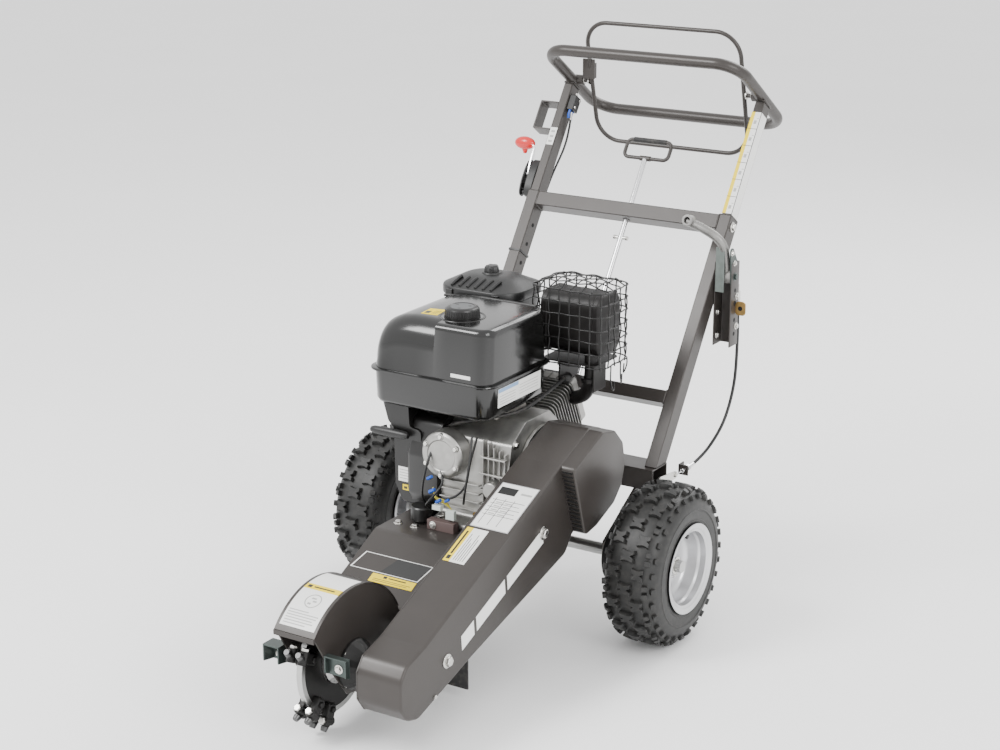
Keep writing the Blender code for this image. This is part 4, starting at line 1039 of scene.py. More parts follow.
    def cables(self) -> None:
        """Make the throttle and switch cables, with their ferrules and ties."""
        throttle = [(-0.259, *leaning(0, 0.96, 0.019)[1:]), (-0.258, *leaning(0, 0.9, 0.022)[1:]),
            (-0.2545, *leaning(0, 0.78, 0.03)[1:]), (-0.2545, *leaning(0, 0.62, 0.03)[1:]),
            (-0.2535, 0.21, 0.47), (-0.245, 0.172, 0.43), (-0.21, 0.15, 0.43), (-0.165, 0.138, 0.455),
            (-0.124, 0.13, 0.48)]
        switch = [(-0.217, *leaning(0, 1.148, 0.02)[1:]), (-0.218, *leaning(0, 1.115, 0.034)[1:]),
            (-0.223, *leaning(0, 1.07, 0.047)[1:]), (-0.233, *leaning(0, 0.98, 0.048)[1:]),
            (-0.235, *leaning(0, 0.8, 0.046)[1:]), (-0.233, *leaning(0, 0.62, 0.047)[1:]),
            (-0.215, *leaning(0, 0.5, 0.04)[1:]), (-0.19, 0.145, 0.395), (-0.156, 0.105, 0.39),
            (-0.13, 0.082, 0.388)]
        for name, route in (("throttle_cable", throttle), ("switch_cable", switch)):
            shape = Shape(CABLE).tube(smooth_route(route), 0.0025, 12)
            shape.use(ZINC).tube(smooth_route(route)[:4], 0.0034, 12)
            shape.piece(name + "_sheath", "cable_black", [name], sharp=50)
        ties = Shape(PLASTIC)
        for along in (0.62, 0.8):
            band = filleted(pairs(-251.5, -2, -220.5, -2, -220.5, 42.5, -251.5, 42.5), 0.003, 3)
            ties.skin([[leaning(x, along + t, d) for x, d in band] for t in (0.0, 0.0045)])
        ties.piece("cable_ties", "black_plastic")

    def build(self) -> None:
        """Make all the controls."""
        self.throttle()
        self.switch()
        self.pull_rod()
        self.strap()
        self.cables()


# ------------------------------------------------------------------ parking brake
@dataclass
class ParkingBrake:
    """The brake lever in its channel, with the cable, arm and drum."""

    # middle line of the lever's grip
    lever_path: Sequence[Point] = ((0.27, 0.366, 0.656), (0.27, 0.36, 0.7), (0.268, 0.352, 0.733),
        (0.256, 0.345, 0.753), (0.226, 0.342, 0.769), (0.189, 0.342, 0.781),)
    # middle line of the cable
    cable_route: Sequence[Point] = ((0.285, 0.396, 0.6), (0.285, 0.399, 0.52), (0.284, 0.392, 0.43),
        (0.28, 0.36, 0.358), (0.274, 0.308, 0.314), (0.268, 0.252, 0.292), (0.262, 0.202, 0.285),)
    channel_x: Pair = (0.2499, 0.29)  # the channel's side faces
    channel_y: Pair = (0.35, 0.388)  # the channel's front and rear faces

    def lever(self) -> None:
        """Make the cast lever with its eye, flange and round socket, with painted shade inside the socket.
        """
        shape = Shape(LEVER_GREY)
        path = smooth_route(self.lever_path, 0.008)
        count = len(path) - 1
        across = Vector((0, 1, 0))
        rings = []
        for i, here in enumerate(path):
            ahead = (path[min(i + 1, count)] - path[max(i - 1, 0)]).normalized()
            side = ahead.cross(across).normalized()
            share = i / count
            wide, thick = 0.011 - 0.0015 * share, 0.0075 + 0.003 * share
            rings.append([here + side * (wide * math.cos(a)) + side.cross(ahead) * (thick * math.sin(a))
                for a in (2 * math.pi * k / 20 for k in range(20))])
        shape.skin(rings)
        shape.lathe(pairs(253.5, 4.5, 253.5, 14.2, 255, 15, 285, 15, 286.4, 14.2, 286.4, 4.5), (0.366, 0.67),
            "X", 36)
        end = path[-1]
        place = frame_at(end + Vector((0.0045, -0.0085, 0.0035)), (0, -1, 0.28))
        shape.at(place).lathe(pairs(-12, 12.5, 4, 12.5, 5.8, 11.5, 5.8, 7, -2, 6.6), (0, 0), "Z", 32)
        # Near-black lining in the socket's hollow: painted shade.
        shape.use(PAINTED_HOLE_SHADE).lathe(pairs(-11, 0, -11, 7.2, -1, 7.2, -1, 0), (0, 0), "Z", 24)
        shape.at().piece("parking_lever", "cast_zinc", ["brake_lever"], bevel=0.0007, sharp=50,
            body="brake_handle")
        plate = Shape(PLATED)
        outline = filleted(pairs(351, 645, 379, 645, 379, 700, 356, 734, 344, 732, 346, 700), 0.01, 5)
        plate.prism(outline, "X", 0.2868, 0.2892)
        plate.bolt((0.2892, 0.366, 0.67), (1, 0, 0), 0.0065)
        plate.use(LEVER_PLATED).box((0.2545, 0.3455, 0.638), (0.274, 0.3482, 0.733))
        plate.box((0.2545, 0.3482, 0.656), (0.2572, 0.366, 0.7))
        plate.use(ZINC).bolt((0.2892, 0.364, 0.699), (1, 0, 0), 0.0042)
        plate.bolt((0.2892, 0.351, 0.723), (1, 0, 0), 0.0042)
        plate.piece("lever_side_plate", "cast_zinc", bevel=0.0005, body="brake_handle")

    def channel(self) -> None:
        """Make the channel with painted shade discs for its round slots, bolts, the bronze tab with painted
        shade in its hole, and the cable stop.
        """
        x_low, x_high = self.channel_x
        y_low, y_high = self.channel_y
        sheet = 0.003
        outline = filleted([(x_low, y_low), (x_low + sheet, y_low), (x_low + sheet, y_high - sheet),
            (x_high - sheet, y_high - sheet), (x_high - sheet, y_low), (x_high, y_low), (x_high, y_high),
            (x_low, y_high)], 0.0022, 3)
        shape = Shape(PAINT).prism(outline, "Z", 0.52, 0.7)
        shape.piece("brake_bracket", "frame_paint", ["brake_channel"], bevel=0.0004)
        # Thin near-black discs on the channel's side face: painted shade in the round slots.
        marks = Shape(PAINTED_HOLE_SHADE)
        for z, size in ((0.546, 0.0045), (0.576, 0.0045), (0.612, 0.006), (0.64, 0.0045)):
            marks.lathe([(x_high - 0.0004, 0), (x_high - 0.0004, size), (x_high + 0.0001, size),
                (x_high + 0.0001, 0)], (0.369, z), "X", 22)
        marks.piece("bracket_slot_shade")
        fixings = Shape(ZINC)
        for z in (0.561, 0.626):
            fixings.bolt((x_high, 0.378, z), (1, 0, 0), 0.0052)
        for z in (0.54, 0.59):
            fixings.bolt((x_low + 0.004, y_low + 0.012, z), (1, 0, 0), 0.005)
        fixings.use(BRASS)
        tab = filleted([(x_high, 0.586), (0.313, 0.586), (0.313, 0.616), (x_high, 0.616)], 0.008, 4)
        fixings.prism(tab, "Y", 0.373, 0.376)
        # Near-black disc on the bronze tab: painted shade in its hole.
        fixings.use(PAINTED_HOLE_SHADE).lathe(pairs(372.6, 0, 372.6, 5, 376.4, 5, 376.4, 0), (0.301, 0.601), "Y", 22)
        fixings.use(ZINC).tube([(0.285, 0.394, 0.632), (0.285, 0.396, 0.592)], 0.0055, 6)
        fixings.tube([(0.285, 0.3935, 0.648), (0.285, 0.3945, 0.61)], 0.003, 14)
        fixings.piece("brake_fixings", "bare_steel", bevel=0.0003)

    def cable(self) -> None:
        """Make the cable with its bright adjuster, and the clevis at the arm."""
        route = smooth_route(self.cable_route, 0.008)
        shape = Shape(CABLE).tube(route, 0.0034, 14)
        shape.piece("brake_cable_sheath", "cable_black", ["brake_cable"], sharp=50)
        ends = Shape(CHROME)
        ends.tube(route[-6:], 0.0046, 14).tube(route[-4:-2], 0.0075, 6).tube(route[:3], 0.0048, 14)
        last = route[-1]
        ends.tube([last, (0.257, 0.189, 0.281)], 0.0012, 8)
        ends.use(PAINT).box((0.2497, 0.209, 0.274), (0.272, 0.212, 0.296))
        ends.box((0.2497, 0.209, 0.274), (0.2524, 0.231, 0.296))
        ends.piece("cable_adjuster", "bare_steel", bevel=0.0004)

    def arm(self) -> None:
        """Make the brake arm with its pin, finish the drum, and make the drum's band."""
        outline = arc((0.12, 0.285), 0.011, 90, 270, 12) + arc((0.185, 0.28), 0.008, -90, 90, 10)
        shape = Shape(ZINC).prism(outline, "X", 0.252, 0.256)
        shape.bolt((0.256, 0.12, 0.285), (1, 0, 0), 0.0068)
        shape.bolt((0.256, 0.185, 0.28), (1, 0, 0), 0.0045, washer=False)
        shape.piece("brake_swing_arm", "bare_steel", ["brake_arm"], bevel=0.0005, body="brake_link")
        dress("brake_drum", DARK_ALLOY, 0.001)
        band = Shape(IRON)
        low, high = (0.22, 0.246)
        outer = arc((0, AXLE_Z), 0.06, 20, 310, 44)
        inner = arc((0, AXLE_Z), 0.0562, 310, 20, 44)
        band.prism(outer + inner, "X", low, high)
        band.piece("brake_band", "cast_steel", bevel=0.0004, sharp=50)

    def build(self) -> None:
        """Make the whole parking brake."""
        self.lever()
        self.channel()
        self.cable()
        self.arm()


# ------------------------------------------------------------------ chassis and cutter hood
@dataclass
class Chassis:
    """The deck, the cutter hood with its hinged cover, the flap and its brackets."""

    hood: Pair = (-0.655, 0.13)  # Y and Z of the hood's centre
    hood_radius: float = 0.1543  # outer radius of the hinged cover
    sheet: float = 0.002  # thickness of the cover's sheet
    cover_x: float = 0.045  # half width of the cover
    bend: Pair = (-0.304, 0.2393)  # Y and Z of the deck's bend
    deck_x: Pair = (-0.16, 0.104)  # the deck's side edges

    def on_slope(self, x: float, down: float, lift: float = 0.0) -> Vector:
        """Place a point on the deck's slope.

        Args:
            x: place across the deck.
            down: distance from the bend, negative towards the cutter.
            lift: height above the sheet.

        Returns:
            The point.
        """
        along = Vector((2.0, 1.0)).normalized()
        normal = Vector((-along.y, along.x))
        spot = Vector(self.bend) + along * down + normal * lift
        return Vector((x, spot.x, spot.y))

    def deck(self) -> None:
        """Make the deck sheet with its bend, and finish the plates under it."""
        shape = Shape(PAINT)
        front = (-0.49, 0.1463)
        thick = 0.003
        profile = [front, (self.bend[0] - 0.006, self.bend[1] - 0.003), (self.bend[0] + 0.001, self.bend[1]
            - 0.0004), (self.bend[0] + 0.008, self.bend[1]), (0.03, self.bend[1])]
        profile += [(y, z - thick) for y, z in reversed(profile)]
        shape.prism(profile, "X", *self.deck_x)
        shape.piece("deck_sheet", "frame_paint", ["deck"], bevel=0.0006)
        for node in ("arm_plate_left", "arm_plate_right", "axle_hanger_left", "axle_hanger_right"):
            dress(node, PAINT, 0.0006)
        dress("axle", STEEL, 0.0012)
        dress("cover_hinge_pin", ZINC, 0.0005)
        dress("debris_flap", SHEET_RUBBER, 0.0008)
        fixings = Shape(ZINC)
        for x in (-0.135, -0.095, 0.08):
            for y in (-0.26, -0.02):
                fixings.bolt((x, y, self.bend[1] + 0.0001), (0, 0, 1), 0.0065)
        for x in (-0.115, 0.115):
            fixings.bolt((x, -0.4451, 0.092), (0, -1, 0), 0.0058)
        for side in (-1, 1):
            for y, z in ((-0.56, 0.105), (-0.4, 0.15)):
                fixings.bolt((side * 0.0441, y, z), (side, 0, 0), 0.006)
        fixings.piece("deck_fixings", "bare_steel", bevel=0.0004)

    def cover(self) -> None:
        """Make the hinged cover with its rolled front lip, tongue and knuckle."""
        outer, inner = self.hood_radius, self.hood_radius - self.sheet
        shape = Shape(PAINT)
        shape.prism(arc(self.hood, outer, 141, 26, 40) + arc(self.hood, inner, 26, 141, 40), "X",
            -self.cover_x, self.cover_x)
        shape.prism(arc(self.hood, outer, 27, 20, 4) + arc(self.hood, inner, 20, 27, 4), "X", -0.039, 0.039)
        hinge = (-0.5092, 0.1774)
        for low, high in ((-0.039, -0.0135), (-0.0125, 0.0125), (0.0135, 0.039)):
            shape.lathe([(low, 0.0045), (low, 0.0085), (high, 0.0085), (high, 0.0045)], hinge, "X", 28)
        shape.box((-self.cover_x, -0.7769, 0.2171), (self.cover_x, -0.774, 0.2268))
        shape.piece("hood_cover", "frame_paint", ["cutter_cover"], bevel=0.0007, sharp=50, body="cover")
        self.cover_label()

    def cover_label(self) -> None:
        """Make the plain white and yellow plate on the cover, with pale marks."""
        shape = Shape(WHITE_PRINT)

        def patches(rows: Iterable[tuple]) -> None:
            """Add curved plates: finish, ends across in millimetres, ends in degrees, height."""
            for finish, x0, x1, start, end, lift in rows:
                steps = max(2, round(abs(end - start) / 3))
                low = arc(self.hood, self.hood_radius + 0.00005, start, end, steps)
                high = arc(self.hood, self.hood_radius + lift / 1000, end, start, steps)
                shape.use(finish).prism(low + high, "X", x0 / 1000, x1 / 1000)

        def on_cover(x: float, degrees: float, lift: float) -> Point:
            """Place a point on the cover."""
            return (x, *turned(self.hood, self.hood_radius + lift, degrees))

        lines = ((134.6, 48), (132.6, 62), (130.6, 58), (128.6, 64), (126.6, 66), (124.6, 42))
        patches([(WHITE_PRINT, -38, 38.5, 136.5, 78, 0.4), (YELLOW_PRINT, -38, 38.5, 104.5, 99, 0.6)])
        patches([(GREY_PRINT, -33, length - 33, start, start - 0.7, 0.6) for start, length in lines])
        outer, inner = ([(0.002 + radius * math.cos(a), 114.5 + math.degrees(radius * math.sin(a) / 0.155))
            for a in (2 * math.pi * k / 28 for k in range(29))] for radius in (0.0165, 0.0145))
        for k in range(28):
            shape.plate(on_cover, (outer[k], outer[k + 1], inner[k + 1], inner[k]), 0.0006)
        patches([(GREY_PRINT, -6, 1, 118, 116.5, 0.6), (GREY_PRINT, 2, 10, 115.5, 114.2, 0.6),
            (GREY_PRINT, -4, 6, 113, 111.8, 0.6), (BLACK_PRINT, -33, -24, 103.2, 100.4, 0.8),
            (BLACK_PRINT, -19, 26, 102.4, 101.2, 0.8)])
        shape.piece("cover_plate", sharp=50, body="cover")

    def brackets(self) -> None:
        """Make the two open angle brackets on the hood's mouth with their bolts."""
        back, wall, foot, top = -0.738, 0.003, 0.148, 0.186
        for side, word, reach, front in ((-1, "left", 0.08, -0.765), (1, "right", 0.092, -0.748)):
            inner, outer = side * 0.0443, side * reach
            low, high = sorted((inner, outer))
            shape = Shape(PLATED)
            shape.box((low, back, foot), (high, back + wall, top))
            shape.box((low, front, top - wall), (high, back, top))
            for face in ((inner, inner + side * wall), (outer, outer - side * wall)):
                shape.skin([[(x, front, top - wall), (x, front, foot + 0.005), (x, back, foot),
                    (x, back, top - wall)] for x in sorted(face)])
            shape.use(ZINC).bolt((side * (0.0473 + reach) / 2, back, foot + 0.014), (0, -1, 0), 0.0062)
            shape.piece("mouth_bracket_" + word, "frame_paint", ["flap_bracket_" + word], bevel=0.0005)

    def labels(self) -> None:
        """Make the plain black and yellow plates on the deck's slope."""
        shape = Shape(WHITE_PRINT)
        shape.plate(self.on_slope, pairs(-142, -62, 18, -62, 6, -106, -154, -106), 0.0004)
        shape.use(PAINT).plate(self.on_slope, pairs(-139.6, -63.6, 15, -63.6, 4, -104.4, -150.4, -104.4),
            0.0006)
        shape.use(BLACK_PRINT).plate(self.on_slope, pairs(-64, -63.6, 15, -63.6, 4, -104.4, -84, -104.4),
            0.0008)
        shape.marks(self.on_slope, [(YELLOW_PRINT, -96, 6, -109, -130, 0.8), (BLACK_PRINT, -68, -60, -111.2,
            -117, 1), (BLACK_PRINT, -56, -16, -113, -115.6, 1), (BLACK_PRINT, -88, -2, -121, -122, 1),
            (BLACK_PRINT, -88, -8, -125, -126, 1)])
        shape.piece("deck_plates")

    def build(self) -> None:
        """Make the whole chassis."""
        self.deck()
        self.cover()
        self.brackets()
        self.labels()


# ------------------------------------------------------------------ cutter and belt drive
@dataclass
class Cutter:
    """The cutter wheel with its bolted tooth holders, its hub and bearings."""

    centre: Pair = (-0.66, 0.137)  # Y and Z of the cutter shaft
    disc: Pair = (0.105, 0.006)  # radius and half thickness of the wheel
    teeth: int = 8  # number of tooth places
    turn: float = 234.5  # middle of the first pair of them, in degrees
    spread: float = 13.0  # from a pair's middle to each of them, in degrees

    def wheel(self) -> None:
        """Make the disc with its polished rim, and the tooth holders with bolts and tips."""
        radius, half = self.disc
        shape = Shape(IRON)
        shape.lathe([(-half, 0.0128), (-half, radius - 0.012), (-half, radius - 0.011),
            (half, radius - 0.011), (half, radius - 0.012), (half, 0.0128)], self.centre, "X", 72)
        shape.use(STEEL).lathe([(-half, radius - 0.0112), (-half, radius - 0.0012), (-half + 0.0012, radius),
            (half - 0.0012, radius), (half, radius - 0.0012), (half, radius - 0.0112)], self.centre, "X", 96)
        for k in range(self.teeth):
            angle = math.radians(self.turn + 90 * (k // 2) + (self.spread if k % 2 else -self.spread))
            outward = Vector((math.cos(angle), math.sin(angle)))
            around = Vector((-outward.y, outward.x))
            self.tooth(shape, outward, around)
        shape.piece("tooth_wheel", "cast_steel", ["cutter_wheel"], bevel=0.0006, body="cutter")

    def tooth(self, shape: Shape, outward: Vector, around: Vector) -> None:
        """Add the two tooth holders of one place on the wheel, with bolts and tips.

        Args:
            shape: the wheel being made.
            outward: direction away from the shaft.
            around: direction round the wheel, away from the cut.
        """
        middle = Vector(self.centre)

        def spot(x: float, r: float, t: float) -> Vector:
            """Place a point by its distance out from the shaft and round it."""
            place = middle + outward * r + around * t
            return Vector((x, place.x, place.y))

        for side in (-1, 1):
            outline = filleted(pairs(80, -10, 80, 12, 120, 12, 124, 2, 120, -10), 0.005, 4)
            rings = [[spot(side * x, 0.101 + (r - 0.101) * share, t * share) for r, t in outline] for x,
                share in ((0.0062, 1.0), (0.017, 1.0), (0.02, 0.84))]
            shape.use(IRON).skin(rings)
            shape.tube([spot(side * 0.0128, 0.114, -0.012), spot(side * 0.0128, 0.114, 0.0136)], 0.0092, 18)
            facing = spot(0, 0, -1) - spot(0, 0, 0)
            shape.use(ZINC).bolt(spot(side * 0.0128, 0.114, -0.012), facing, 0.0074, washer=False,
                head=0.006)
            shape.use(IRON).bolt(spot(side * 0.02, 0.092, 0.001), (side, 0, 0), 0.0062, washer=False,
                head=0.0045)
            shape.tube([spot(side * 0.0128, 0.118, 0.003), spot(side * 0.0128, 0.126, -0.002)], 0.0078, 16,
                end_radius=0.0066)
            shape.use(CARBIDE).tube([spot(side * 0.0128, 0.1256, -0.002), spot(side * 0.0128, 0.1335,
                -0.0045)], 0.0076, 16, end_radius=0.0058)

    def shaft(self) -> None:
        """Finish the shaft, bearings and pulley, and add the bearing bolts."""
        for node, finish, width in (("cutter_shaft", STEEL, 0.001), ("cutter_pulley", DARK_ALLOY, 0.0008),
                ("bearing_inner", IRON, 0.002), ("bearing_outer", IRON, 0.002)):
            dress(node, finish, width)
        shape = Shape(ZINC)
        for k in range(4):
            angle = math.radians(45 + 90 * k)
            y = self.centre[0] + 0.04 * math.cos(angle)
            z = self.centre[1] + 0.04 * math.sin(angle)
            shape.bolt((0.0502, y, z), (1, 0, 0), 0.0052)
        shape.piece("bearing_bolts", "bare_steel", bevel=0.0004)
        hub = Shape(ZINC)
        for k in range(6):
            angle = math.radians(60 * k)
            y = self.centre[0] + 0.035 * math.cos(angle)
            z = self.centre[1] + 0.035 * math.sin(angle)
            hub.bolt((-0.0061, y, z), (-1, 0, 0), 0.0055)
        hub.lathe(pairs(-24, 0, -24, 11.8, -6.2, 11.8, -6.2, 0), self.centre, "X", 6)
        hub.piece("wheel_hub_bolts", "bare_steel", bevel=0.0004, body="cutter")

    def build(self) -> None:
        """Make the whole cutter."""
        self.wheel()
        self.shaft()


@dataclass
class BeltGuard:
    """The folded belt guard with its louvred bulge, over the pulleys and belt."""

    x: Pair = (0.1076, 0.2006)  # inner and outer side planes
    bulge_x: float = 0.231  # outer plane of the bulge over the clutch
    radius: float = 0.005  # radius of the folded edge
    slots: int = 15  # number of louvres in the bulge's step
    outline: Outline = field(default_factory=lambda: pairs(-682, 74, -715, 84, -735, 112, -735, 165, -715,
        190, -658, 206, -190, 404, -80, 447, -30, 436, 3, 403, 14, 355, 1, 312, -30, 282, -100, 256, -144,
        249, -167, 215, -506, 127))
    # the bulge's outline
    bulge: Outline = field(default_factory=lambda: pairs(-193, 400.5, -80, 445.5, -30.5, 435, 2, 402.5, 13,
        355, 0, 312.5, -30.5, 283, -100, 257, -144, 250))

    def inset(self, outline: Sequence[Pair], distance: float) -> Outline:
        """Move a closed outline's points inwards along their corner's bisector.

        Args:
            outline: closed outline.
            distance: how far in.

        Returns:
            The smaller outline.
        """
        made: Outline = []
        count = len(outline)
        for i in range(count):
            before, here, after = (Vector(outline[j % count]) for j in (i - 1, i, i + 1))
            first, second = (here - before).normalized(), (after - here).normalized()
            normals = [Vector((-d.y, d.x)) for d in (first, second)]
            mean = (normals[0] + normals[1]).normalized()
            reach = distance / max(0.5, mean.dot(normals[0]))
            inward = -mean if self.turns_left(outline) < 0 else mean
            made.append(tuple(here + inward * reach))
        return made

    @staticmethod
    def turns_left(outline: Sequence[Pair]) -> float:
        """Return the outline's signed area, positive when it runs anticlockwise."""
        count = len(outline)
        return sum(outline[i][0] * outline[(i + 1) % count][1] - outline[(i + 1) % count][0] * outline[i][1]
            for i in range(count)) / 2

    def folded(self, outline: Outline, low: float, high: float, radius: float,
            turns: Sequence[float]) -> Shape:
        """Make a closed sheet form with a folded outer edge.

        Args:
            outline: its outline in Y and Z.
            low: where it starts along X.
            high: its outer plane.
            radius: radius of the fold.
            turns: angles of the fold's sections, in degrees.

        Returns:
            The shape.
        """
        sections = [(low, outline), (high - radius, outline)]
        for angle in map(math.radians, turns):
            inset = radius * (1 - math.cos(angle))
            sections.append((high - radius + radius * math.sin(angle), self.inset(outline, inset)))
        return Shape(PAINT).loft(sections, "X")

    def shell(self) -> None:
        """Make the folded shell and the bulge over the clutch."""
        low, high = self.x
        shell = self.folded(filleted(self.outline, 0.03, 8), low, high, self.radius, (22, 45, 68, 90))
        shell.piece("guard_shell", "frame_paint", ["belt_guard"], sharp=40)
        bulge = self.folded(filleted(self.bulge, 0.014, 6), high - 0.004, self.bulge_x, 0.0035, (30, 60, 90))
        bulge.piece("guard_bulge", "frame_paint", sharp=40)

    def louvres(self) -> None:
        """Make the louvres on the bulge's step with their raised lips, and near-black plates in them as
        painted shade.
        """
        span = Vector((0.042, -0.128))
        ahead = span.normalized()
        out = Vector((ahead.y, -ahead.x))
        step = span.length / self.slots
        low, high = self.x[1] + 0.003, self.bulge_x - 0.005
        edge, back = step * 0.27, step * 0.43
        # The near-black plates fill the louvres' openings as painted shade; the lips are in the guard's
        # paint.
        slots, lips = Shape(PAINTED_HOLE_SHADE), Shape(PAINT)
        for k in range(self.slots):
            middle = Vector((-0.193, 0.4005)) + Vector((0.049, -0.1505)) * ((k + 0.9) / (self.slots + 1))

            def over(x: float, along: float, lift: float) -> Point:
                """Place a point near this louvre's middle."""
                return (x, *(middle + ahead * along + out * (lift + 0.0002)))

            slots.plate(over, ((low, -edge), (high, -edge), (high, edge), (low, edge)), 0.0002, -0.0006)
            lips.skin([[over(low, -back, lift), over(high, -back, lift), over(high, -edge, 0.4 * lift),
                over(low, -edge, 0.4 * lift)] for lift in (0.0, 0.0022)])
        slots.piece("louvre_slot_shade")
        lips.piece("louvre_lips", "frame_paint")

    def fixings(self) -> None:
        """Make the side bolts and finish the back plate and the drive behind the guard."""
        shape = Shape(ZINC)
        for y, z in ((-0.5894, 0.152), (-0.2562, 0.2873)):
            shape.bolt((self.x[1], y, z), (1, 0, 0), 0.0095)
        shape.bolt((self.x[1], -0.63, 0.098), (1, 0, 0), 0.0045, washer=False)
        shape.piece("guard_bolts", "bare_steel", bevel=0.0005)
        dress("guard_back_plate", PAINT, 0.0006)
        dress("drive_belt", SHEET_RUBBER, 0.001)
        dress("clutch_pulley", DARK_ALLOY, 0.0008)
        dress("crankshaft", STEEL, 0.0008)

    def plates(self) -> None:
        """Make the plain plates: a pale stripe on the side, a rating plate and a notice on top."""
        start, end = Vector((-0.545, 0.166)), Vector((-0.261, 0.28))
        ahead, length = (end - start).normalized(), (end - start).length
        up = Vector((-ahead.y, ahead.x))

        def beside(along: float, across: float, lift: float) -> Point:
            """Place a point on the slanting stripe of the side."""
            return (self.x[1] + lift, *(start + ahead * along + up * across))

        side = Shape(WHITE_PRINT)
        for low, high in ((0.0, 0.145), (0.175, 0.52), (0.55, 1.0)):
            near, far = length * low, length * high
            side.plate(beside, ((near, -0.014), (far, -0.014), (far + 0.008, 0.014), (near + 0.008, 0.014)),
                0.0005)
        side.piece("side_stripe")
        origin = Vector((-0.658, 0.206))
        run = (Vector((-0.19, 0.404)) - origin).normalized()
        normal = Vector((-run.y, run.x))

        def above(x: float, along: float, lift: float) -> Point:
            """Place a point on the guard's top face."""
            return (x, *(origin + run * along + normal * lift))

        rows = [(SILVER, 112, 196, 305, 433, 0.4), (WHITE_PRINT, 114, 194, 307, 431, 0.6), (BLACK_PRINT, 118,
            156, 401, 421, 0.8)]
        rows += [(BLACK_PRINT, 118, 188 - 6 * (k % 2), 342 + 10.5 * k, 343 + 10.5 * k, 0.8)
            for k in range(5)]
        rows += [(BLACK_PRINT, 124 + 20 * k, 125 + 20 * k, 315, 390, 0.8) for k in range(3)]
        rows += [(GREY_PRINT, low, high, 345.5 + 10.5 * k, 348 + 10.5 * k, 0.8) for k in range(4) for low,
            high in ((129, 142), (149, 164))]
        rows += [(GREY_PRINT, 166, 190, 408, 413, 0.8), (WHITE_PRINT, 111, 158, 206, 300, 0.4),
            (YELLOW_PRINT, 111, 125, 206, 300, 0.6), (BLACK_PRINT, 114, 122, 212, 222, 0.8),
            (BLACK_PRINT, 116, 120, 226, 290, 0.8)]
        rows += [(BLACK_PRINT, 130 + 5 * k, 131.2 + 5 * k, 212, 285 - 12 * (k % 3), 0.6) for k in range(5)]
        Shape(SILVER).marks(above, rows).piece("guard_plates")

    def build(self) -> None:
        """Make the whole guard."""
        self.shell()
        self.louvres()
        self.fixings()
        self.plates()


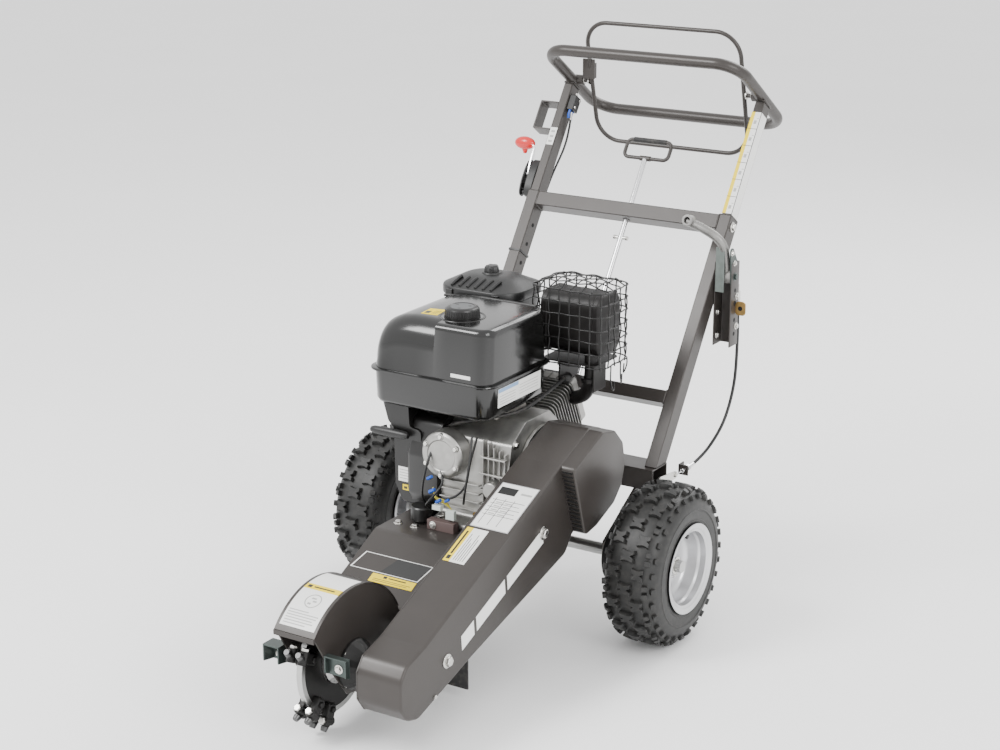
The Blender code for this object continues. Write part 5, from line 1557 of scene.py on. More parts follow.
# ------------------------------------------------------------------ engine
@dataclass
class FuelTank:
    """The pressed fuel tank with its seam, stepped front corner, cap and plates."""

    low: Pair = (-0.218, -0.234)  # front left corner of its plan
    high: Pair = (0.06, 0.003)  # rear right corner of its plan
    seam: Pair = (0.5421, 0.5479)  # height of the seam's flange
    top: float = 0.657  # height of its top face
    step: float = -0.064
    cap: Pair = (-0.047, -0.156)  # X and Y of the filler cap

    def section(self, z: float, grow: float, corner: float) -> tuple[float, Outline]:
        """Return the tank's outline at a height, grown by a distance."""
        return (z, rounded((self.low[0] - grow, self.low[1] - grow), (self.high[0] + grow, self.high[1]
            + grow), corner, 8))

    @staticmethod
    def drop(distance: float, width: float, height: float) -> float:
        """Return how far a rounded edge has dropped at a distance from its end."""
        if distance >= width:
            return 0.0
        return height * (1.0 - math.sqrt(max(0.0, 1.0 - (1.0 - distance / width) ** 2)))

    def slice(self, x: float, stepped: bool) -> Outline:
        """Return the upper pressing's outline in Y and Z.

        Args:
            x: place across the tank.
            stepped: whether the slice has the wide front curve of the stepped corner.

        Returns:
            The outline, always with the same number of points.
        """
        to_end = min(x - self.low[0], self.high[0] - x)
        inset = self.drop(to_end, 0.032, 0.032)
        top = self.top - self.drop(x - self.low[0], 0.085, 0.062) - self.drop(self.high[0] - x, 0.013, 0.013)
        foot = self.seam[1]
        wide, tall = (0.046, 0.06) if stepped else (0.013, 0.013)
        tall = min(tall, top - foot - 0.004)
        lean_in = 0.005
        front, rear = self.low[1] + inset, self.high[1] - inset
        outline = [(front, foot)]
        for k in range(11):
            a = math.radians(180 - 9 * k)
            outline.append((front + lean_in + wide + wide * math.cos(a), top - tall + tall * math.sin(a)))
        for k in range(9):
            a = math.radians(90 - 11.25 * k)
            outline.append((rear - lean_in - 0.014 + 0.014 * math.cos(a), top - 0.014 + 0.014 * math.sin(a)))
        return outline + [(rear, foot)]

    def shell(self) -> None:
        """Make the two pressings and the rolled seam between them."""
        shape = Shape(GLOSS_BLACK)
        shape.loft([self.section(0.472, -0.016, 0.022), self.section(0.4732, -0.011, 0.025),
            self.section(0.477, -0.0055, 0.028), self.section(0.484, -0.0018, 0.031), self.section(0.5422,
            0.0, 0.032)], "Z")
        low, high = self.seam
        shape.loft([self.section(low, 0.005, 0.034), self.section(low + 0.0008, 0.0074, 0.036),
            self.section((low + high) / 2, 0.008, 0.036), self.section(high - 0.0008, 0.0074, 0.036),
            self.section(high, 0.005, 0.034)], "Z")
        places = [self.low[0] + d for d in (0.0004, 0.0015, 0.004, 0.008, 0.014, 0.022, 0.032, 0.046, 0.062,
            0.085, 0.11)]
        slices = [(x, self.slice(x, True)) for x in (*places, self.step - 0.003)]
        slices += [(x, self.slice(x, False)) for x in (self.step + 0.001, self.step + 0.03)]
        slices += [(self.high[0] - d, self.slice(self.high[0] - d, False)) for d in (0.04, 0.028, 0.02,
            0.013, 0.008, 0.0045, 0.002, 0.0006)]
        shape.loft(slices, "X")
        shape.piece("pressed_tank", "black_paint", ["fuel_tank"], sharp=36)
        pad = Shape(SATIN_BLACK)
        pad.lathe([(self.top - 0.003, 0.039), (self.top + 0.0012, 0.043), (self.top + 0.0012, 0.046),
            (self.top - 0.003, 0.049)], self.cap, "Z", 56)
        pad.tube([(-0.185, -0.012, self.top - 0.008), (-0.09, -0.012, self.top - 0.001),
            (0.035, -0.012, self.top - 0.001)], 0.003, 10)
        pad.piece("tank_rim", "black_paint", sharp=50)

    def filler(self) -> None:
        """Make the ribbed filler cap with its grey middle."""
        shape = Shape(SATIN_BLACK)
        ring_low, ring_high, ribs = [], [], 40
        for k in range(ribs * 4):
            angle = 2 * math.pi * k / (ribs * 4)
            radius = 0.0352 if k % 4 < 2 else 0.0338
            ring_low.append((self.cap[0] + radius * math.cos(angle), self.cap[1] + radius * math.sin(angle)))
            ring_high.append((self.cap[0] + (radius - 0.001) * math.cos(angle), self.cap[1]
                + (radius - 0.001) * math.sin(angle)))
        shape.loft([(0.659, ring_low), (0.6735, ring_high)], "Z")
        shape.lathe(pairs(657.3, 0, 657.3, 36, 660, 36, 661, 0), self.cap, "Z", 56)
        shape.lathe(pairs(673, 0, 673, 33.5, 676, 32.2, 678.2, 28.5, 678.8, 25.5, 677.6, 24, 677.6, 0),
            self.cap, "Z", 56)
        shape.use(GREY_PLASTIC).lathe(pairs(677, 0, 677, 23.8, 678, 23.5, 678.4, 0), self.cap, "Z", 48)
        shape.use(SATIN_BLACK)
        for k in range(3):
            angle = math.radians(40 + 120 * k)
            spot = (self.cap[0] + 0.015 * math.cos(angle), self.cap[1] + 0.015 * math.sin(angle))
            shape.lathe(pairs(678.2, 0, 678.2, 3, 678.6, 2.8, 678.7, 0), spot, "Z", 16)
        shape.piece("filler_cap", "black_plastic", ["fuel_cap"], sharp=30, body="tank_cap")
        neck = Shape(GLOSS_BLACK)
        neck.lathe(pairs(654, 30, 657.2, 40.5, 657.2, 30), self.cap, "Z", 56)
        neck.piece("filler_neck", "black_paint", sharp=50)

    def plates(self) -> None:
        """Make the plain plates on the tank's top, flank and front."""

        def above(x: float, y: float, lift: float) -> Point:
            """Place a point on the top face."""
            return (x, y, self.top + lift)

        def beside(y: float, z: float, lift: float) -> Point:
            """Place a point on the lower pressing's right flank."""
            return (self.high[0] - 0.0014 + lift + (z - 0.484) * 0.031, y, z)

        def ahead(x: float, z: float, lift: float) -> Point:
            """Place a point on the upper pressing's front."""
            return (x, self.low[1] + 0.0001 - lift + (z - 0.548) * 0.046, z)

        shape = Shape(YELLOW_PRINT)
        shape.plate(above, pairs(-129, -180, -133, -140, -100, -133, -93, -176), 0.0004, 0.0)
        shape.use(BLACK_PRINT).plate(above, pairs(-126, -174, -128, -158, -118, -156, -116, -172), 0.0006,
            0.0)
        for y in (-0.17, -0.1635, -0.157, -0.1505):
            shape.plate(above, ((-0.113, y), (-0.113, y + 0.0014), (-0.1, y + 0.0014), (-0.099, y)), 0.0006,
                0.0)
        rows = [(WHITE_PRINT, -194, -35, 496, 534, 0.6), (BLUE_PRINT, -193, -120, 526, 533.4, 0.8)]
        for k in range(4):
            rows += [(GREY_PRINT, -188, -130, 501 + 5.5 * k, 502 + 5.5 * k, 0.8), (GREY_PRINT, -115, -45,
                505 + 6 * k, 506 + 6 * k, 0.8)]
        shape.marks(beside, rows, 0.0).marks(ahead, [(WHITE_PRINT, -24, 21, 557, 564, 0.6)], 0.0)
        shape.piece("tank_plates")

    def build(self) -> None:
        """Make the whole tank."""
        self.shell()
        self.filler()
        self.plates()


@dataclass
class AirCleaner:
    """The ribbed air cleaner with its knob."""

    low: Pair = (-0.232, 0.014)  # front left corner of its plan
    high: Pair = (-0.041, 0.174)  # rear right corner of its plan

    def section(self, z: float, grow: float, corner: float) -> tuple[float, Outline]:
        """Return the outline at a height, grown by a distance."""
        return (z, rounded((self.low[0] - grow, self.low[1] - grow), (self.high[0] + grow, self.high[1]
            + grow), corner, 8))

    def build(self) -> None:
        """Make the base, the lid with its lip and ribs, and the lobed knob."""
        base = Shape(PLASTIC).loft([self.section(0.515, -0.025, 0.03), self.section(0.52, -0.02, 0.035),
            self.section(0.54, -0.006, 0.05), self.section(0.638, -0.004, 0.055), self.section(0.64, -0.006,
            0.054)], "Z")
        base.piece("filter_base", "black_plastic", ["air_cleaner_base"], bevel=0.001, sharp=40)
        lid = Shape(PLASTIC).loft([self.section(0.6403, -0.001, 0.055), self.section(0.642, 0.0, 0.055),
            self.section(0.656, 0.0, 0.055), self.section(0.659, -0.0015, 0.054), self.section(0.661, -0.006,
            0.052), self.section(0.669, -0.022, 0.048), self.section(0.675, -0.034, 0.04),
            self.section(0.679, -0.046, 0.032), self.section(0.6805, -0.058, 0.022)], "Z")
        for k in range(6):
            x = self.low[0] + 0.042 + 0.019 * k
            lid.tube([(x, self.low[1] + 0.008, 0.662), (x + 0.002, self.low[1] + 0.018, 0.6675),
                (x + 0.005, self.low[1] + 0.03, 0.6735), (x + 0.007, self.low[1] + 0.038, 0.676)], 0.0034,
                10)
        middle = ((self.low[0] + self.high[0]) / 2, (self.low[1] + self.high[1]) / 2)
        lid.lathe(pairs(677, 0, 677, 24, 683, 21, 683.5, 0), middle, "Z", 36)
        lobed = [(middle[0] + (0.015 + 0.0018 * math.cos(5 * a)) * math.cos(a), middle[1]
            + (0.015 + 0.0018 * math.cos(5 * a)) * math.sin(a)) for a in (2 * math.pi * k / 60
            for k in range(60))]
        lid.loft([(0.682, lobed),
            (0.692, [(middle[0] + (x - middle[0]) * 0.95, middle[1] + (y - middle[1]) * 0.95) for x,
            y in lobed]), (0.696, [(middle[0] + (x - middle[0]) * 0.75, middle[1] + (y - middle[1]) * 0.75)
            for x, y in lobed])], "Z")
        lid.piece("filter_lid", "black_plastic", ["air_cleaner_lid"], bevel=0.0008, sharp=40)
        clips = Shape(SATIN_BLACK)
        for x in (-0.19, -0.08):
            clips.box((x - 0.008, self.low[1] - 0.003, 0.62), (x + 0.008, self.low[1] + 0.004, 0.656))
        clips.piece("filter_clips", bevel=0.0015)


@dataclass
class Muffler:
    """The muffler with its heat shield, down pipe and crimped wire cage."""

    low: tuple[float, float, float] = (-0.0005, 0.0195, 0.536)  # the cage's lowest corner
    high: tuple[float, float, float] = (0.1685, 0.1405, 0.702)  # the cage's highest corner
    mesh: float = 0.024  # spacing of the wires
    wire: float = 0.00155

    def body(self) -> None:
        """Make the pressed body with its seams, and the pipe down from it."""
        shape = Shape(HEAT_BLACK)
        outline = rounded((0.034, 0.55), (0.126, 0.678), 0.026, 10)
        middle = (0.08, 0.614)

        def scaled(share: float) -> Outline:
            """Return the outline shrunk towards its middle."""
            return [(middle[0] + (y - middle[0]) * share, middle[1] + (z - middle[1]) * share) for y,
                z in outline]

        sections = [(0.014, scaled(0.86)), (0.0165, scaled(0.95)), (0.02, scaled(1.0)), (0.03, scaled(1.0)),
            (0.031, scaled(0.975)), (0.137, scaled(0.975)), (0.138, scaled(1.0)), (0.148, scaled(1.0)),
            (0.1515, scaled(0.95)), (0.154, scaled(0.86))]
        shape.loft(sections, "X")
        shape.lathe(pairs(153, 0, 153, 22, 154.6, 21, 155, 0), middle, "X", 36)
        shape.piece("muffler_body", "black_paint", ["muffler"], bevel=0.0008, sharp=40)
        pipe = Shape(HEAT_BLACK)
        route = points(125, 56, 560, 125, 56, 520, 118, 60, 485, 100, 70, 460, 70, 80, 445)
        pipe.tube(smooth_route(route, 0.006), 0.014, 20)
        pipe.lathe(pairs(495, 14.3, 495, 20, 504, 20, 504, 14.3), (0.123, 0.058), "Z", 20)
        plate = filleted(pairs(20, 30, 148, 30, 148, 130, 20, 130), 0.012, 4)
        pipe.prism(plate, "Z", 0.534, 0.537)
        pipe.box((0.06, 0.035, 0.49), (0.064, 0.11, 0.534))
        pipe.box((0.14, 0.035, 0.48), (0.143, 0.085, 0.534))
        pipe.piece("muffler_pipe", bevel=0.0008)

    def crimped(self, start: Vector, end: Vector, out: Vector, phase: float) -> list[Vector]:
        """Lay a wire that waves in and out at every crossing.

        Args:
            start: its start.
            end: its end.
            out: direction of the waves.
            phase: which crossings it passes over.

        Returns:
            Points of the wire.
        """
        length = (end - start).length
        steps = max(2, round(length / (self.mesh / 4)))
        return [start.lerp(end, k / steps) + out * (self.wire * math.cos(math.pi * (k / 4.0 + phase)))
            for k in range(steps + 1)]

    def cage(self) -> None:
        """Make the wire cage with its long bottom loop."""
        x0, y0, z0 = self.low
        x1, y1, z1 = self.high
        corner = 0.022
        shape = Shape(SATIN_BLACK)
        plan = rounded((x0, y0), (x1, y1), corner, 4)
        plan = [Vector(p) for p in plan]
        closed = plan + [plan[0]]
        lengths = [0.0]
        for a, b in zip(closed[:-1], closed[1:]):
            lengths.append(lengths[-1] + (b - a).length)

        def at(distance: float) -> Vector:
            """Return the plan's point at a distance round it."""
            distance %= lengths[-1]
            for i in range(len(plan)):
                if distance <= lengths[i + 1]:
                    span = max(1e-9, lengths[i + 1] - lengths[i])
                    return closed[i].lerp(closed[i + 1], (distance - lengths[i]) / span)
            return closed[-1]

        count = round(lengths[-1] / self.mesh)
        rows = round((z1 - 0.012 - z0) / self.mesh)
        centre = Vector(((x0 + x1) / 2, (y0 + y1) / 2))
        for r in range(rows + 1):
            z = z0 + (z1 - 0.012 - z0) * r / rows
            ring = []
            for k in range(count * 4):
                spot = at(lengths[-1] * k / (count * 4))
                out = (spot - centre).normalized()
                wave = self.wire * math.cos(math.pi * (k / 4.0 + r))
                ring.append((*(spot + out * wave), z + 0.0012 * math.sin(r * 2.1 + k * 0.07)))
            shape.tube(ring, self.wire, 6, closed=True)
        for k in range(count):
            spot = at(lengths[-1] * k / count)
            out = (spot - centre).normalized()
            wire = self.crimped(Vector((*spot, z0 - 0.004)), Vector((*spot, z1 - 0.012)), Vector((*out, 0)),
                k + 1)
            shape.tube(wire, self.wire, 6)
        for axis in (0, 1):
            low, high = self.low[axis], self.high[axis]
            lines = round((high - low) / self.mesh)
            for k in range(1, lines):
                place = low + (high - low) * k / lines
                other = (y0, y1) if axis == 0 else (x0, x1)
                ends = [(place, other[0]), (place, other[1])] if axis == 0 else [(other[0], place),
                    (other[1], place)]
                top = self.crimped(Vector((*ends[0], z1 - 0.012)), Vector((*ends[1], z1 - 0.012)),
                    Vector((0, 0, 1)), k)
                total = len(top) - 1
                route = [p + Vector((0, 0, 0.01 * min(1.0, 5.0 * min(i, total - i) / total))) for i,
                    p in enumerate(top)]
                shape.tube(route, self.wire, 6)
        tails = [((0.168, 0.1), (0.164, 0.112), 0.485), ((0.168, 0.06), (0.168, 0.072), 0.48),
            ((0.166, 0.13), (0.156, 0.135), 0.5)]
        for start, end, z in tails:
            shape.tube(smooth_route([(*start, z0), (*start, z + 0.02), (*end, z),
                (end[0] - 0.01, end[1] + 0.02, z + 0.012)]), self.wire, 6)
        shape.piece("wire_cage", "black_paint", ["muffler_cage"], sharp=70)

    def build(self) -> None:
        """Make the muffler and its cage."""
        self.body()
        self.cage()


@dataclass
class EngineBlock:
    """The die-cast crankcase, finned cylinder, valve cover, carburettor and fittings."""

    crank: Pair = (-0.075, 0.345)  # Y and Z of the crankshaft
    tilt: float = 25.0  # the cylinder's tilt above the horizontal, in degrees
    case_x: Pair = (-0.072, 0.085)  # the crankcase's side planes
    boss: Pair = (-0.056, 0.385)  # X and Z of the round cover on the front face

    def along(self, reach: float, across: float) -> Pair:
        """Return Y and Z of a point by its distance along the cylinder and across it."""
        angle = math.radians(self.tilt)
        return (self.crank[0] + reach * math.cos(angle) - across * math.sin(angle), self.crank[1]
            + reach * math.sin(angle) + across * math.cos(angle))

    def case(self) -> None:
        """Make the crankcase with its foot, round front cover and stiffening ribs."""
        base = 0.2397
        outline = [(-0.235, base), (0.028, base), (0.028, 0.254), (0.012, 0.262), (0.022, 0.33), (0.0, 0.42),
            (-0.04, 0.455), (-0.13, 0.455), (-0.185, 0.42), (-0.2, 0.34), (-0.2, 0.262), (-0.235, 0.254)]
        shape = Shape(ALLOY)
        soft = filleted(outline, 0.012, 4)
        shape.prism(soft, "X", *self.case_x)
        x, z = self.boss
        shape.lathe(pairs(-188, 0, -188, 50, -217, 48, -221, 45, -223, 41, -223, 33, -221.5, 31, -221.5, 0),
            (x, z), "Y", 56)
        for k in range(6):
            angle = math.radians(30 + 60 * k)
            spot = (x + 0.04 * math.cos(angle), z + 0.04 * math.sin(angle))
            shape.lathe(pairs(-200, 0, -200, 7.5, -223.5, 6.8, -224.5, 5.5, -224.5, 0), spot, "Y", 20)
        for k in range(5):
            rib = 0.031 + 0.0115 * k
            shape.box((rib, -0.207 + 0.002 * k, 0.27), (rib + 0.0026, -0.19, 0.428 - 0.006 * k))
        for k in range(4):
            height = 0.29 + 0.034 * k
            shape.box((0.024, -0.208, height), (0.084, -0.196, height + 0.0036))
        for k in range(4):
            height = 0.276 + 0.018 * k
            shape.box((-0.07, -0.209, height), (0.024, -0.196, height + 0.0034))
        shape.lathe(pairs(-196, 0, -196, 19, -222, 17, -224, 15, -224, 0), (0.058, 0.333), "Y", 32)
        shape.piece("cast_crankcase", "cast_aluminium", ["crankcase"], bevel=0.0012, sharp=35)
        self.fixings()

    def fixings(self) -> None:
        """Make the bolts on the crankcase, the oil plug and the foot bolts."""
        shape = Shape(ZINC)
        x, z = self.boss
        for k in range(6):
            angle = math.radians(30 + 60 * k)
            shape.bolt((x + 0.04 * math.cos(angle), -0.2245, z + 0.04 * math.sin(angle)), (0, -1, 0), 0.0046,
                washer=False)
        for spot in ((-0.055, -0.2235, 0.2542), (0.07, -0.2235, 0.2542)):
            shape.bolt(spot, (0, 0, 1), 0.0085)
        for x, y, z in ((0.085, -0.17, 0.418), (0.085, -0.17, 0.285), (0.085, 0.004, 0.33)):
            shape.bolt((x, y, z), (1, 0, 0), 0.006)
        shape.use(PLASTIC).lathe(pairs(-199, 0, -199, 14.5, -216, 13.5, -218, 11, -218, 0), (0.058, 0.285),
            "Y", 12)
        shape.use(BRASS).bolt((0.015, -0.2, 0.265), (0, -1, 0), 0.0075)
        shape.piece("case_fixings", "bare_steel", bevel=0.0004)
        dress("crankcase_side_cover", ALLOY, 0.0015)
        block = Shape(MOUNT_RED)
        block.box((-0.069, -0.255, 0.2397), (-0.006, -0.237, 0.26))
        block.use(ZINC).bolt((-0.055, -0.255, 0.25), (0, -1, 0), 0.0055)
        block.piece("mount_block", bevel=0.001)

    def cylinder(self) -> None:
        """Make the cylinder with thin rounded fins, its head and the black valve cover."""
        shape = Shape(ALLOY)

        def slab(first: float, last: float, reach: float, x: Pair, corner: float) -> None:
            """Add one slab of the cylinder between two distances along it."""
            ring = rounded((x[0], -reach), (x[1], reach), corner, 4)
            shape.skin([[(u, *self.along(s, v)) for u, v in ring] for s in (first, last)])

        slab(0.09, 0.214, 0.048, (-0.046, 0.056), 0.02)
        for k in range(11):
            start = 0.101 + 0.0086 * k
            slab(start, start + 0.0024, 0.062, (-0.06, 0.07), 0.014)
        slab(0.196, 0.214, 0.058, (-0.056, 0.066), 0.012)
        for k in range(6):
            start = -0.048 + 0.019 * k
            ring = [(start, -0.06), (start + 0.003, -0.06), (start + 0.003, 0.06), (start, 0.06)]
            shape.skin([[(u, *self.along(s, v)) for u, v in ring] for s in (0.198, 0.213)])
        shape.piece("finned_cylinder", "cast_aluminium", ["cylinder"], bevel=0.0007, sharp=35)
        cover = Shape(SATIN_BLACK)
        ring = rounded((-0.048, -0.045), (0.058, 0.045), 0.014, 6)
        small = rounded((-0.04, -0.037), (0.05, 0.037), 0.012, 6)
        rings = [[(u, *self.along(s, v)) for u, v in outline] for s, outline in ((0.2148, ring),
            (0.2178, ring), (0.2182, small), (0.238, small))]
        cover.skin(rings)
        tiny = rounded((-0.035, -0.032), (0.045, 0.032), 0.01, 6)
        cover.skin([[(u, *self.along(s, v)) for u, v in outline] for s, outline in ((0.2378, small),
            (0.2425, tiny))])
        cover.piece("rocker_cover", "black_paint", ["valve_cover"], bevel=0.001, sharp=40)
        bolts = Shape(ZINC)
        outward = Vector((0, math.cos(math.radians(self.tilt)), math.sin(math.radians(self.tilt))))
        for u, v in ((-0.042, -0.039), (0.052, -0.039), (-0.042, 0.039), (0.052, 0.039)):
            bolts.bolt((u, *self.along(0.218, v)), outward, 0.0045)
        bolts.piece("rocker_bolts", "bare_steel", bevel=0.0003)

    def fittings(self) -> None:
        """Make the spark plug's cap and lead, the carburettor and the links near it."""
        plug = Shape(SHEET_RUBBER)
        start = Vector((0.05, *self.along(0.19, 0.05)))
        tip = start + Vector((0.018, -0.015, 0.028))
        plug.tube([start, tip], 0.0095, 18, end_radius=0.008)
        plug.tube([tip - Vector((0, 0, 0.006)), tip + Vector((0.002, -0.022, -0.002))], 0.007, 16)
        lead = [tip + Vector((0.002, -0.02, -0.002)), (0.062, -0.09, 0.47), (0.03, -0.15, 0.462),
            (-0.03, -0.185, 0.45), (-0.072, -0.175, 0.43)]
        plug.tube(smooth_route(lead), 0.0035, 12)
        plug.piece("spark_plug_lead", "rubber", sharp=50)
        carb = Shape(ALLOY)
        outline = rounded((0.1, 0.45), (0.155, 0.512), 0.01, 5)
        carb.prism(outline, "X", -0.12, -0.0603)
        carb.lathe(pairs(430, 0, 430, 21, 452, 23, 452, 0), (-0.09, 0.1275), "Z", 32)
        carb.use(ZINC).bolt((-0.09, 0.1275, 0.43), (0, 0, -1), 0.007)
        carb.use(PLASTIC).box((-0.11, 0.086, 0.468), (-0.07, 0.1, 0.5))
        carb.use(ZINC).tube(points(-115, 156, 500, -160, 156, 490, -160, 120, 470), 0.0016, 8)
        carb.piece("carburettor_body", "cast_aluminium", ["carburettor"], bevel=0.001, sharp=40)
        block = Shape(DARK_ALLOY)
        block.box((-0.05, -0.15, 0.455), (0.03, -0.04, 0.4722))
        block.piece("tank_brackets", bevel=0.001)

    def build(self) -> None:
        """Make the whole engine block."""
        self.case()
        self.cylinder()
        self.fittings()


@dataclass
class Blower:
    """The blower housing with its recoil starter and pull grip."""

    crank: Pair = (-0.075, 0.345)  # Y and Z of the crankshaft
    x: Pair = (-0.15, -0.0723)  # left and right planes of the housing
    # the housing's outline in Y and Z
    outline: Outline = field(default_factory=lambda: pairs(-190, 243, 30, 243, 70, 300, 75, 380, 40, 450,
        -30, 468, -120, 468, -190, 440, -212, 370, -212, 290))

    def housing(self) -> None:
        """Make the pressed housing with a round shoulder and its plain plates."""
        soft = filleted(self.outline, 0.022, 5)
        middle = Vector((sum(p[0] for p in soft), sum(p[1] for p in soft))) / len(soft)
        low, high = self.x
        sections = ((low, 0.91), (low + 0.0015, 0.945), (low + 0.005, 0.975), (low + 0.012, 1.0),
            (high, 1.0))
        shape = Shape(SATIN_BLACK)
        shape.loft([(x, [tuple(middle + (Vector(p) - middle) * share) for p in soft]) for x,
            share in sections], "X")
        shape.piece("blower_shell", "black_paint", ["blower_housing"], bevel=0.001, sharp=40)
        self.shroud()

        def ahead(x: float, z: float, lift: float) -> Point:
            """Place a point on the shroud's front face."""
            return (x, -0.2036 - lift, z)

        rows = [(WHITE_PRINT, -172, -130, 306, 337, 0.4), (YELLOW_PRINT, -162, -125, 288, 300, 0.4)]
        rows += [(BLACK_PRINT, x, x + 8, 291, 296, 0.6) for x in (-159, -145)]
        rows += [(GREY_PRINT, -169, -134, z, z + 1.4, 0.6) for z in (312, 318, 324, 330)]
        Shape(WHITE_PRINT).marks(ahead, rows, 0.0).piece("blower_plate")

    def shroud(self) -> None:
        """Make the moulded cover in front of the blower, up to the tank's left end."""
        outline = filleted(pairs(-208, 518, -156, 518, -148, 500, -144, 424, -117, 420, -113, 330, -118, 264,
            -164, 264, -180, 300, -182, 416, -196, 430, -208, 470), 0.01, 4)
        shape = Shape(SATIN_BLACK)
        shape.prism(outline, "Y", -0.15, -0.2035)
        shape.use(ZINC).bolt((-0.156, -0.2035, 0.493), (0, -1, 0), 0.004)
        shape.piece("engine_shroud", "black_paint", bevel=0.003, segments=3)

    def starter(self) -> None:
        """Make the recoil cover with painted shade plates for its vents, its bolts, the grip and its rope.
        """
        shape = Shape(SATIN_BLACK)
        shape.lathe(pairs(-150.3, 0, -150.3, 96, -156, 95.8, -195, 90.5, -201, 88.5, -205, 84, -211, 71,
            -212, 67, -211, 40, -212, 30, -212, 0), self.crank, "X", 72)
        middle = Vector(self.crank)
        for k in range(24):
            low, high = (turned(self.crank, r, 15 * k) for r in (0.04, 0.064))
            shape.tube([(-0.2112, *low), (-0.2114, *high)], 0.0016, 8)
        shape.piece("recoil_shell", "black_paint", ["recoil_cover"], bevel=0.0008, sharp=40)
        # Near-black plates on the cover's shoulder: painted shade in the vent openings.
        vents = Shape(PAINTED_HOLE_SHADE)
        for k in range(24):
            outward = Vector(turned((0, 0), 1, 15 * k + 7.5))
            around = Vector((-outward.y, outward.x))
            corners = [(x, middle + outward * r + around * t) for x, r, t in points(-190, 90, -4, -190, 90,
                4, -164, 93.8, 4, -164, 93.8, -4)]
            vents.skin([[(x, *(spot + outward * lift)) for x, spot in corners] for lift in (0.0, 0.0016)])
        vents.piece("recoil_vent_shade")
        bolts = Shape(ZINC)
        for turn in (80, 200, 320):
            bolts.bolt((-0.152, *turned(self.crank, 0.102, turn)), (-1, 0, 0), 0.005)
        bolts.piece("recoil_bolts", bevel=0.0003)
        self.grip()

    def grip(self) -> None:
        """Make the starter's grip with its neck, and the rope into the cover."""
        grip = Shape(PLASTIC)
        start, end = Vector((-0.185, -0.1575, 0.3898)), Vector((-0.185, -0.206, 0.406))
        grip.tube([start, start.lerp(end, 0.45), start.lerp(end, 0.75), end], 0.003, 16, end_radius=0.0075)
        bar = []
        for share in range(13):
            u = share / 12
            size = 0.0095 * (0.8 + 0.2 * math.sin(math.pi * min(1.0, max(0.0, u))))
            if share in (0, 12):
                size *= 0.72
            bar.append((-0.23 + 0.09 * u, size))
        grip.lathe([(bar[0][0], 0.0), *bar, (bar[-1][0], 0.0)], (-0.214, 0.4087), "X", 28)
        grip.piece("starter_handle", "black_plastic", ["recoil_grip"], sharp=60, body="starter_grip")
        rope = Shape(CABLE)
        inside = start - (end - start).normalized() * 0.02
        rope.tube([inside.lerp(start, k / 8) for k in range(9)], 0.0022, 12)
        made = rope.free("starter_rope")
        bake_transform(made)

    def build(self) -> None:
        """Make the whole blower."""
        self.housing()
        self.starter()


@dataclass
class Wiring:
    """The small parts in front of the engine: canister, leads and terminals."""

    # X, Y and Z of the middle of the canister's foot
    canister: tuple[float, float, float] = (-0.1, -0.225, 0.244)

    def build(self) -> None:
        """Make the canister, the black leads, the yellow wires and the blue terminals."""
        x, y, z = self.canister
        pot = Shape(SATIN_BLACK)
        pot.lathe([(z, 0), (z, 0.0225), (z + 0.002, 0.024), (z + 0.027, 0.024), (z + 0.03, 0.0215),
            (z + 0.03, 0)], (x, y), "Z", 36)
        pot.piece("sensor_pot", "black_plastic", bevel=0.0008)
        leads = Shape(CABLE)
        routes = [points(-95, -215, 270, -90, -240, 305, -83, -235, 360, -80, -205, 410), points(-85, -215,
            270, -70, -255, 290, -50, -255, 315, -45, -235, 335, -60, -218, 355), points(-40, -245, 305, -10,
            -245, 315, 10, -235, 340, 8, -215, 380, 15, -200, 430), points(5, -235, 300, 15, -245, 330, 18,
            -235, 380, 10, -210, 435)]
        for route in routes:
            leads.tube(smooth_route(route, 0.005), 0.0024, 10)
        leads.piece("black_leads", "cable_black", sharp=60)
        wires = Shape(YELLOW_WIRE)
        for k, shift in enumerate((0.0, 0.0035, 0.007)):
            route = [(-0.065, -0.238, 0.315 + shift), (-0.05, -0.25, 0.305 + shift * 0.5),
                (-0.03, -0.245, 0.295 + shift), (-0.015 - shift, -0.235, 0.276),
                (-0.03, -0.23, 0.268 + shift)]
            wires.tube(smooth_route(route, 0.005), 0.0013, 8)
        wires.piece("yellow_wires", sharp=60)
        blocks = Shape(BLUE_PLASTIC)
        spots = ((-0.07, -0.242, 0.343, 0.0035), (-0.062, -0.246, 0.318, 0.004), (-0.043, -0.252, 0.302,
            0.0035), (-0.025, -0.248, 0.305, 0.003))
        for u, v, w, size in spots:
            blocks.tube([(u - size * 1.6, v, w - size), (u + size * 1.6, v, w + size)], size, 10)
        blocks.use(WHITE_PLASTIC).box((-0.056, -0.256, 0.283), (-0.036, -0.244, 0.293))
        blocks.box((-0.028, -0.25, 0.266), (-0.008, -0.24, 0.285))
        blocks.piece("wire_terminals", bevel=0.0006)


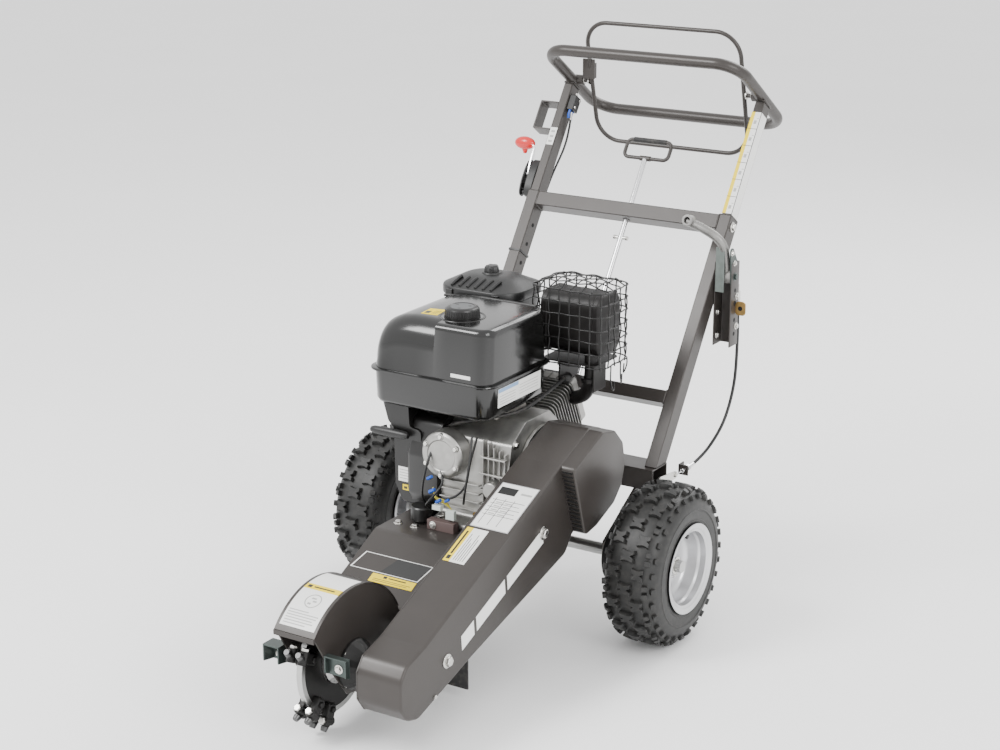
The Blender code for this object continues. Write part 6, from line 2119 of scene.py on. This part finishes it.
# ------------------------------------------------------------------ studio
@dataclass
class Studio:
    """The floor, soft lights and camera."""

    eye: tuple[float, float, float] = (2.0556, -3.319, 1.7175)  # the camera's place
    down: float = 17.1431  # its angle below the horizontal, in degrees
    turn: float = 32.2059  # its heading, in degrees
    lens: float = 72.881  # focal length on a 36 mm wide sensor

    def floor(self) -> None:
        """Make the plain pale floor."""
        data = bpy.data.meshes.new("floor")
        mesh = bmesh.new()
        half = 60.0
        mesh.faces.new([mesh.verts.new((x, y, -0.0002)) for x, y in ((-half, -half), (half, -half),
            (half, half), (-half, half))])
        mesh.to_mesh(data)
        mesh.free()
        finish = Finish("pale_floor", (0.93, 0.93, 0.93), 0.85, drift=0.01, patch=0.8, relief=0.00001)
        data.materials.append(finish.material())
        made = bpy.data.objects.new("floor", data)
        bpy.context.scene.collection.objects.link(made)

    def light(self, name: str, place: Point, aim: Point, size: float, power: float) -> None:
        """Add one large soft light.

        Args:
            name: its name.
            place: where it stands.
            aim: the point that it faces.
            size: length of its square side.
            power: its power in watts.
        """
        data = bpy.data.lights.new(name, "AREA")
        data.shape = "SQUARE"
        data.size = size
        data.energy = power
        made = bpy.data.objects.new(name, data)
        made.location = place
        made.rotation_euler = (Vector(aim) - Vector(place)).to_track_quat("-Z", "Y").to_euler()
        bpy.context.scene.collection.objects.link(made)

    def build(self) -> None:
        """Make the floor, the sky, the lights and the camera."""
        self.floor()
        world = bpy.context.scene.world or bpy.data.worlds.new("studio")
        bpy.context.scene.world = world
        world.use_nodes = True
        sky = world.node_tree.nodes["Background"]
        sky.inputs["Color"].default_value = (1.0, 1.0, 1.0, 1.0)
        sky.inputs["Strength"].default_value = 1.65
        aim = (0.0, 0.0, 0.4)
        self.light("key", (-1.8, -2.6, 3.4), aim, 1.6, 170.0)
        self.light("fill", (3.2, -1.4, 2.2), aim, 1.8, 70.0)
        self.light("back", (0.6, 3.2, 3.0), aim, 2.0, 90.0)
        data = bpy.data.cameras.new("view_camera")
        data.lens = self.lens
        data.sensor_width = 36.0
        made = bpy.data.objects.new("view_camera", data)
        made.location = self.eye
        made.rotation_euler = (math.radians(90.0 - self.down), 0.0, math.radians(self.turn))
        bpy.context.scene.collection.objects.link(made)
        bpy.context.scene.camera = made


def main() -> None:
    """Build every sub-assembly in order."""
    logging.basicConfig(level=logging.INFO, format="%(name)s: %(message)s")
    for side, word in ((-1, "left"), (1, "right")):
        Wheel(side, word).build()
    for part in (HandleFrame(), Bail(), Controls(), ParkingBrake(), Chassis(), Cutter(), BeltGuard(),
            FuelTank(), AirCleaner(), Muffler(), EngineBlock(), Blower(), Wiring(), Studio()):
        part.build()


if __name__ == "__main__":
    main()
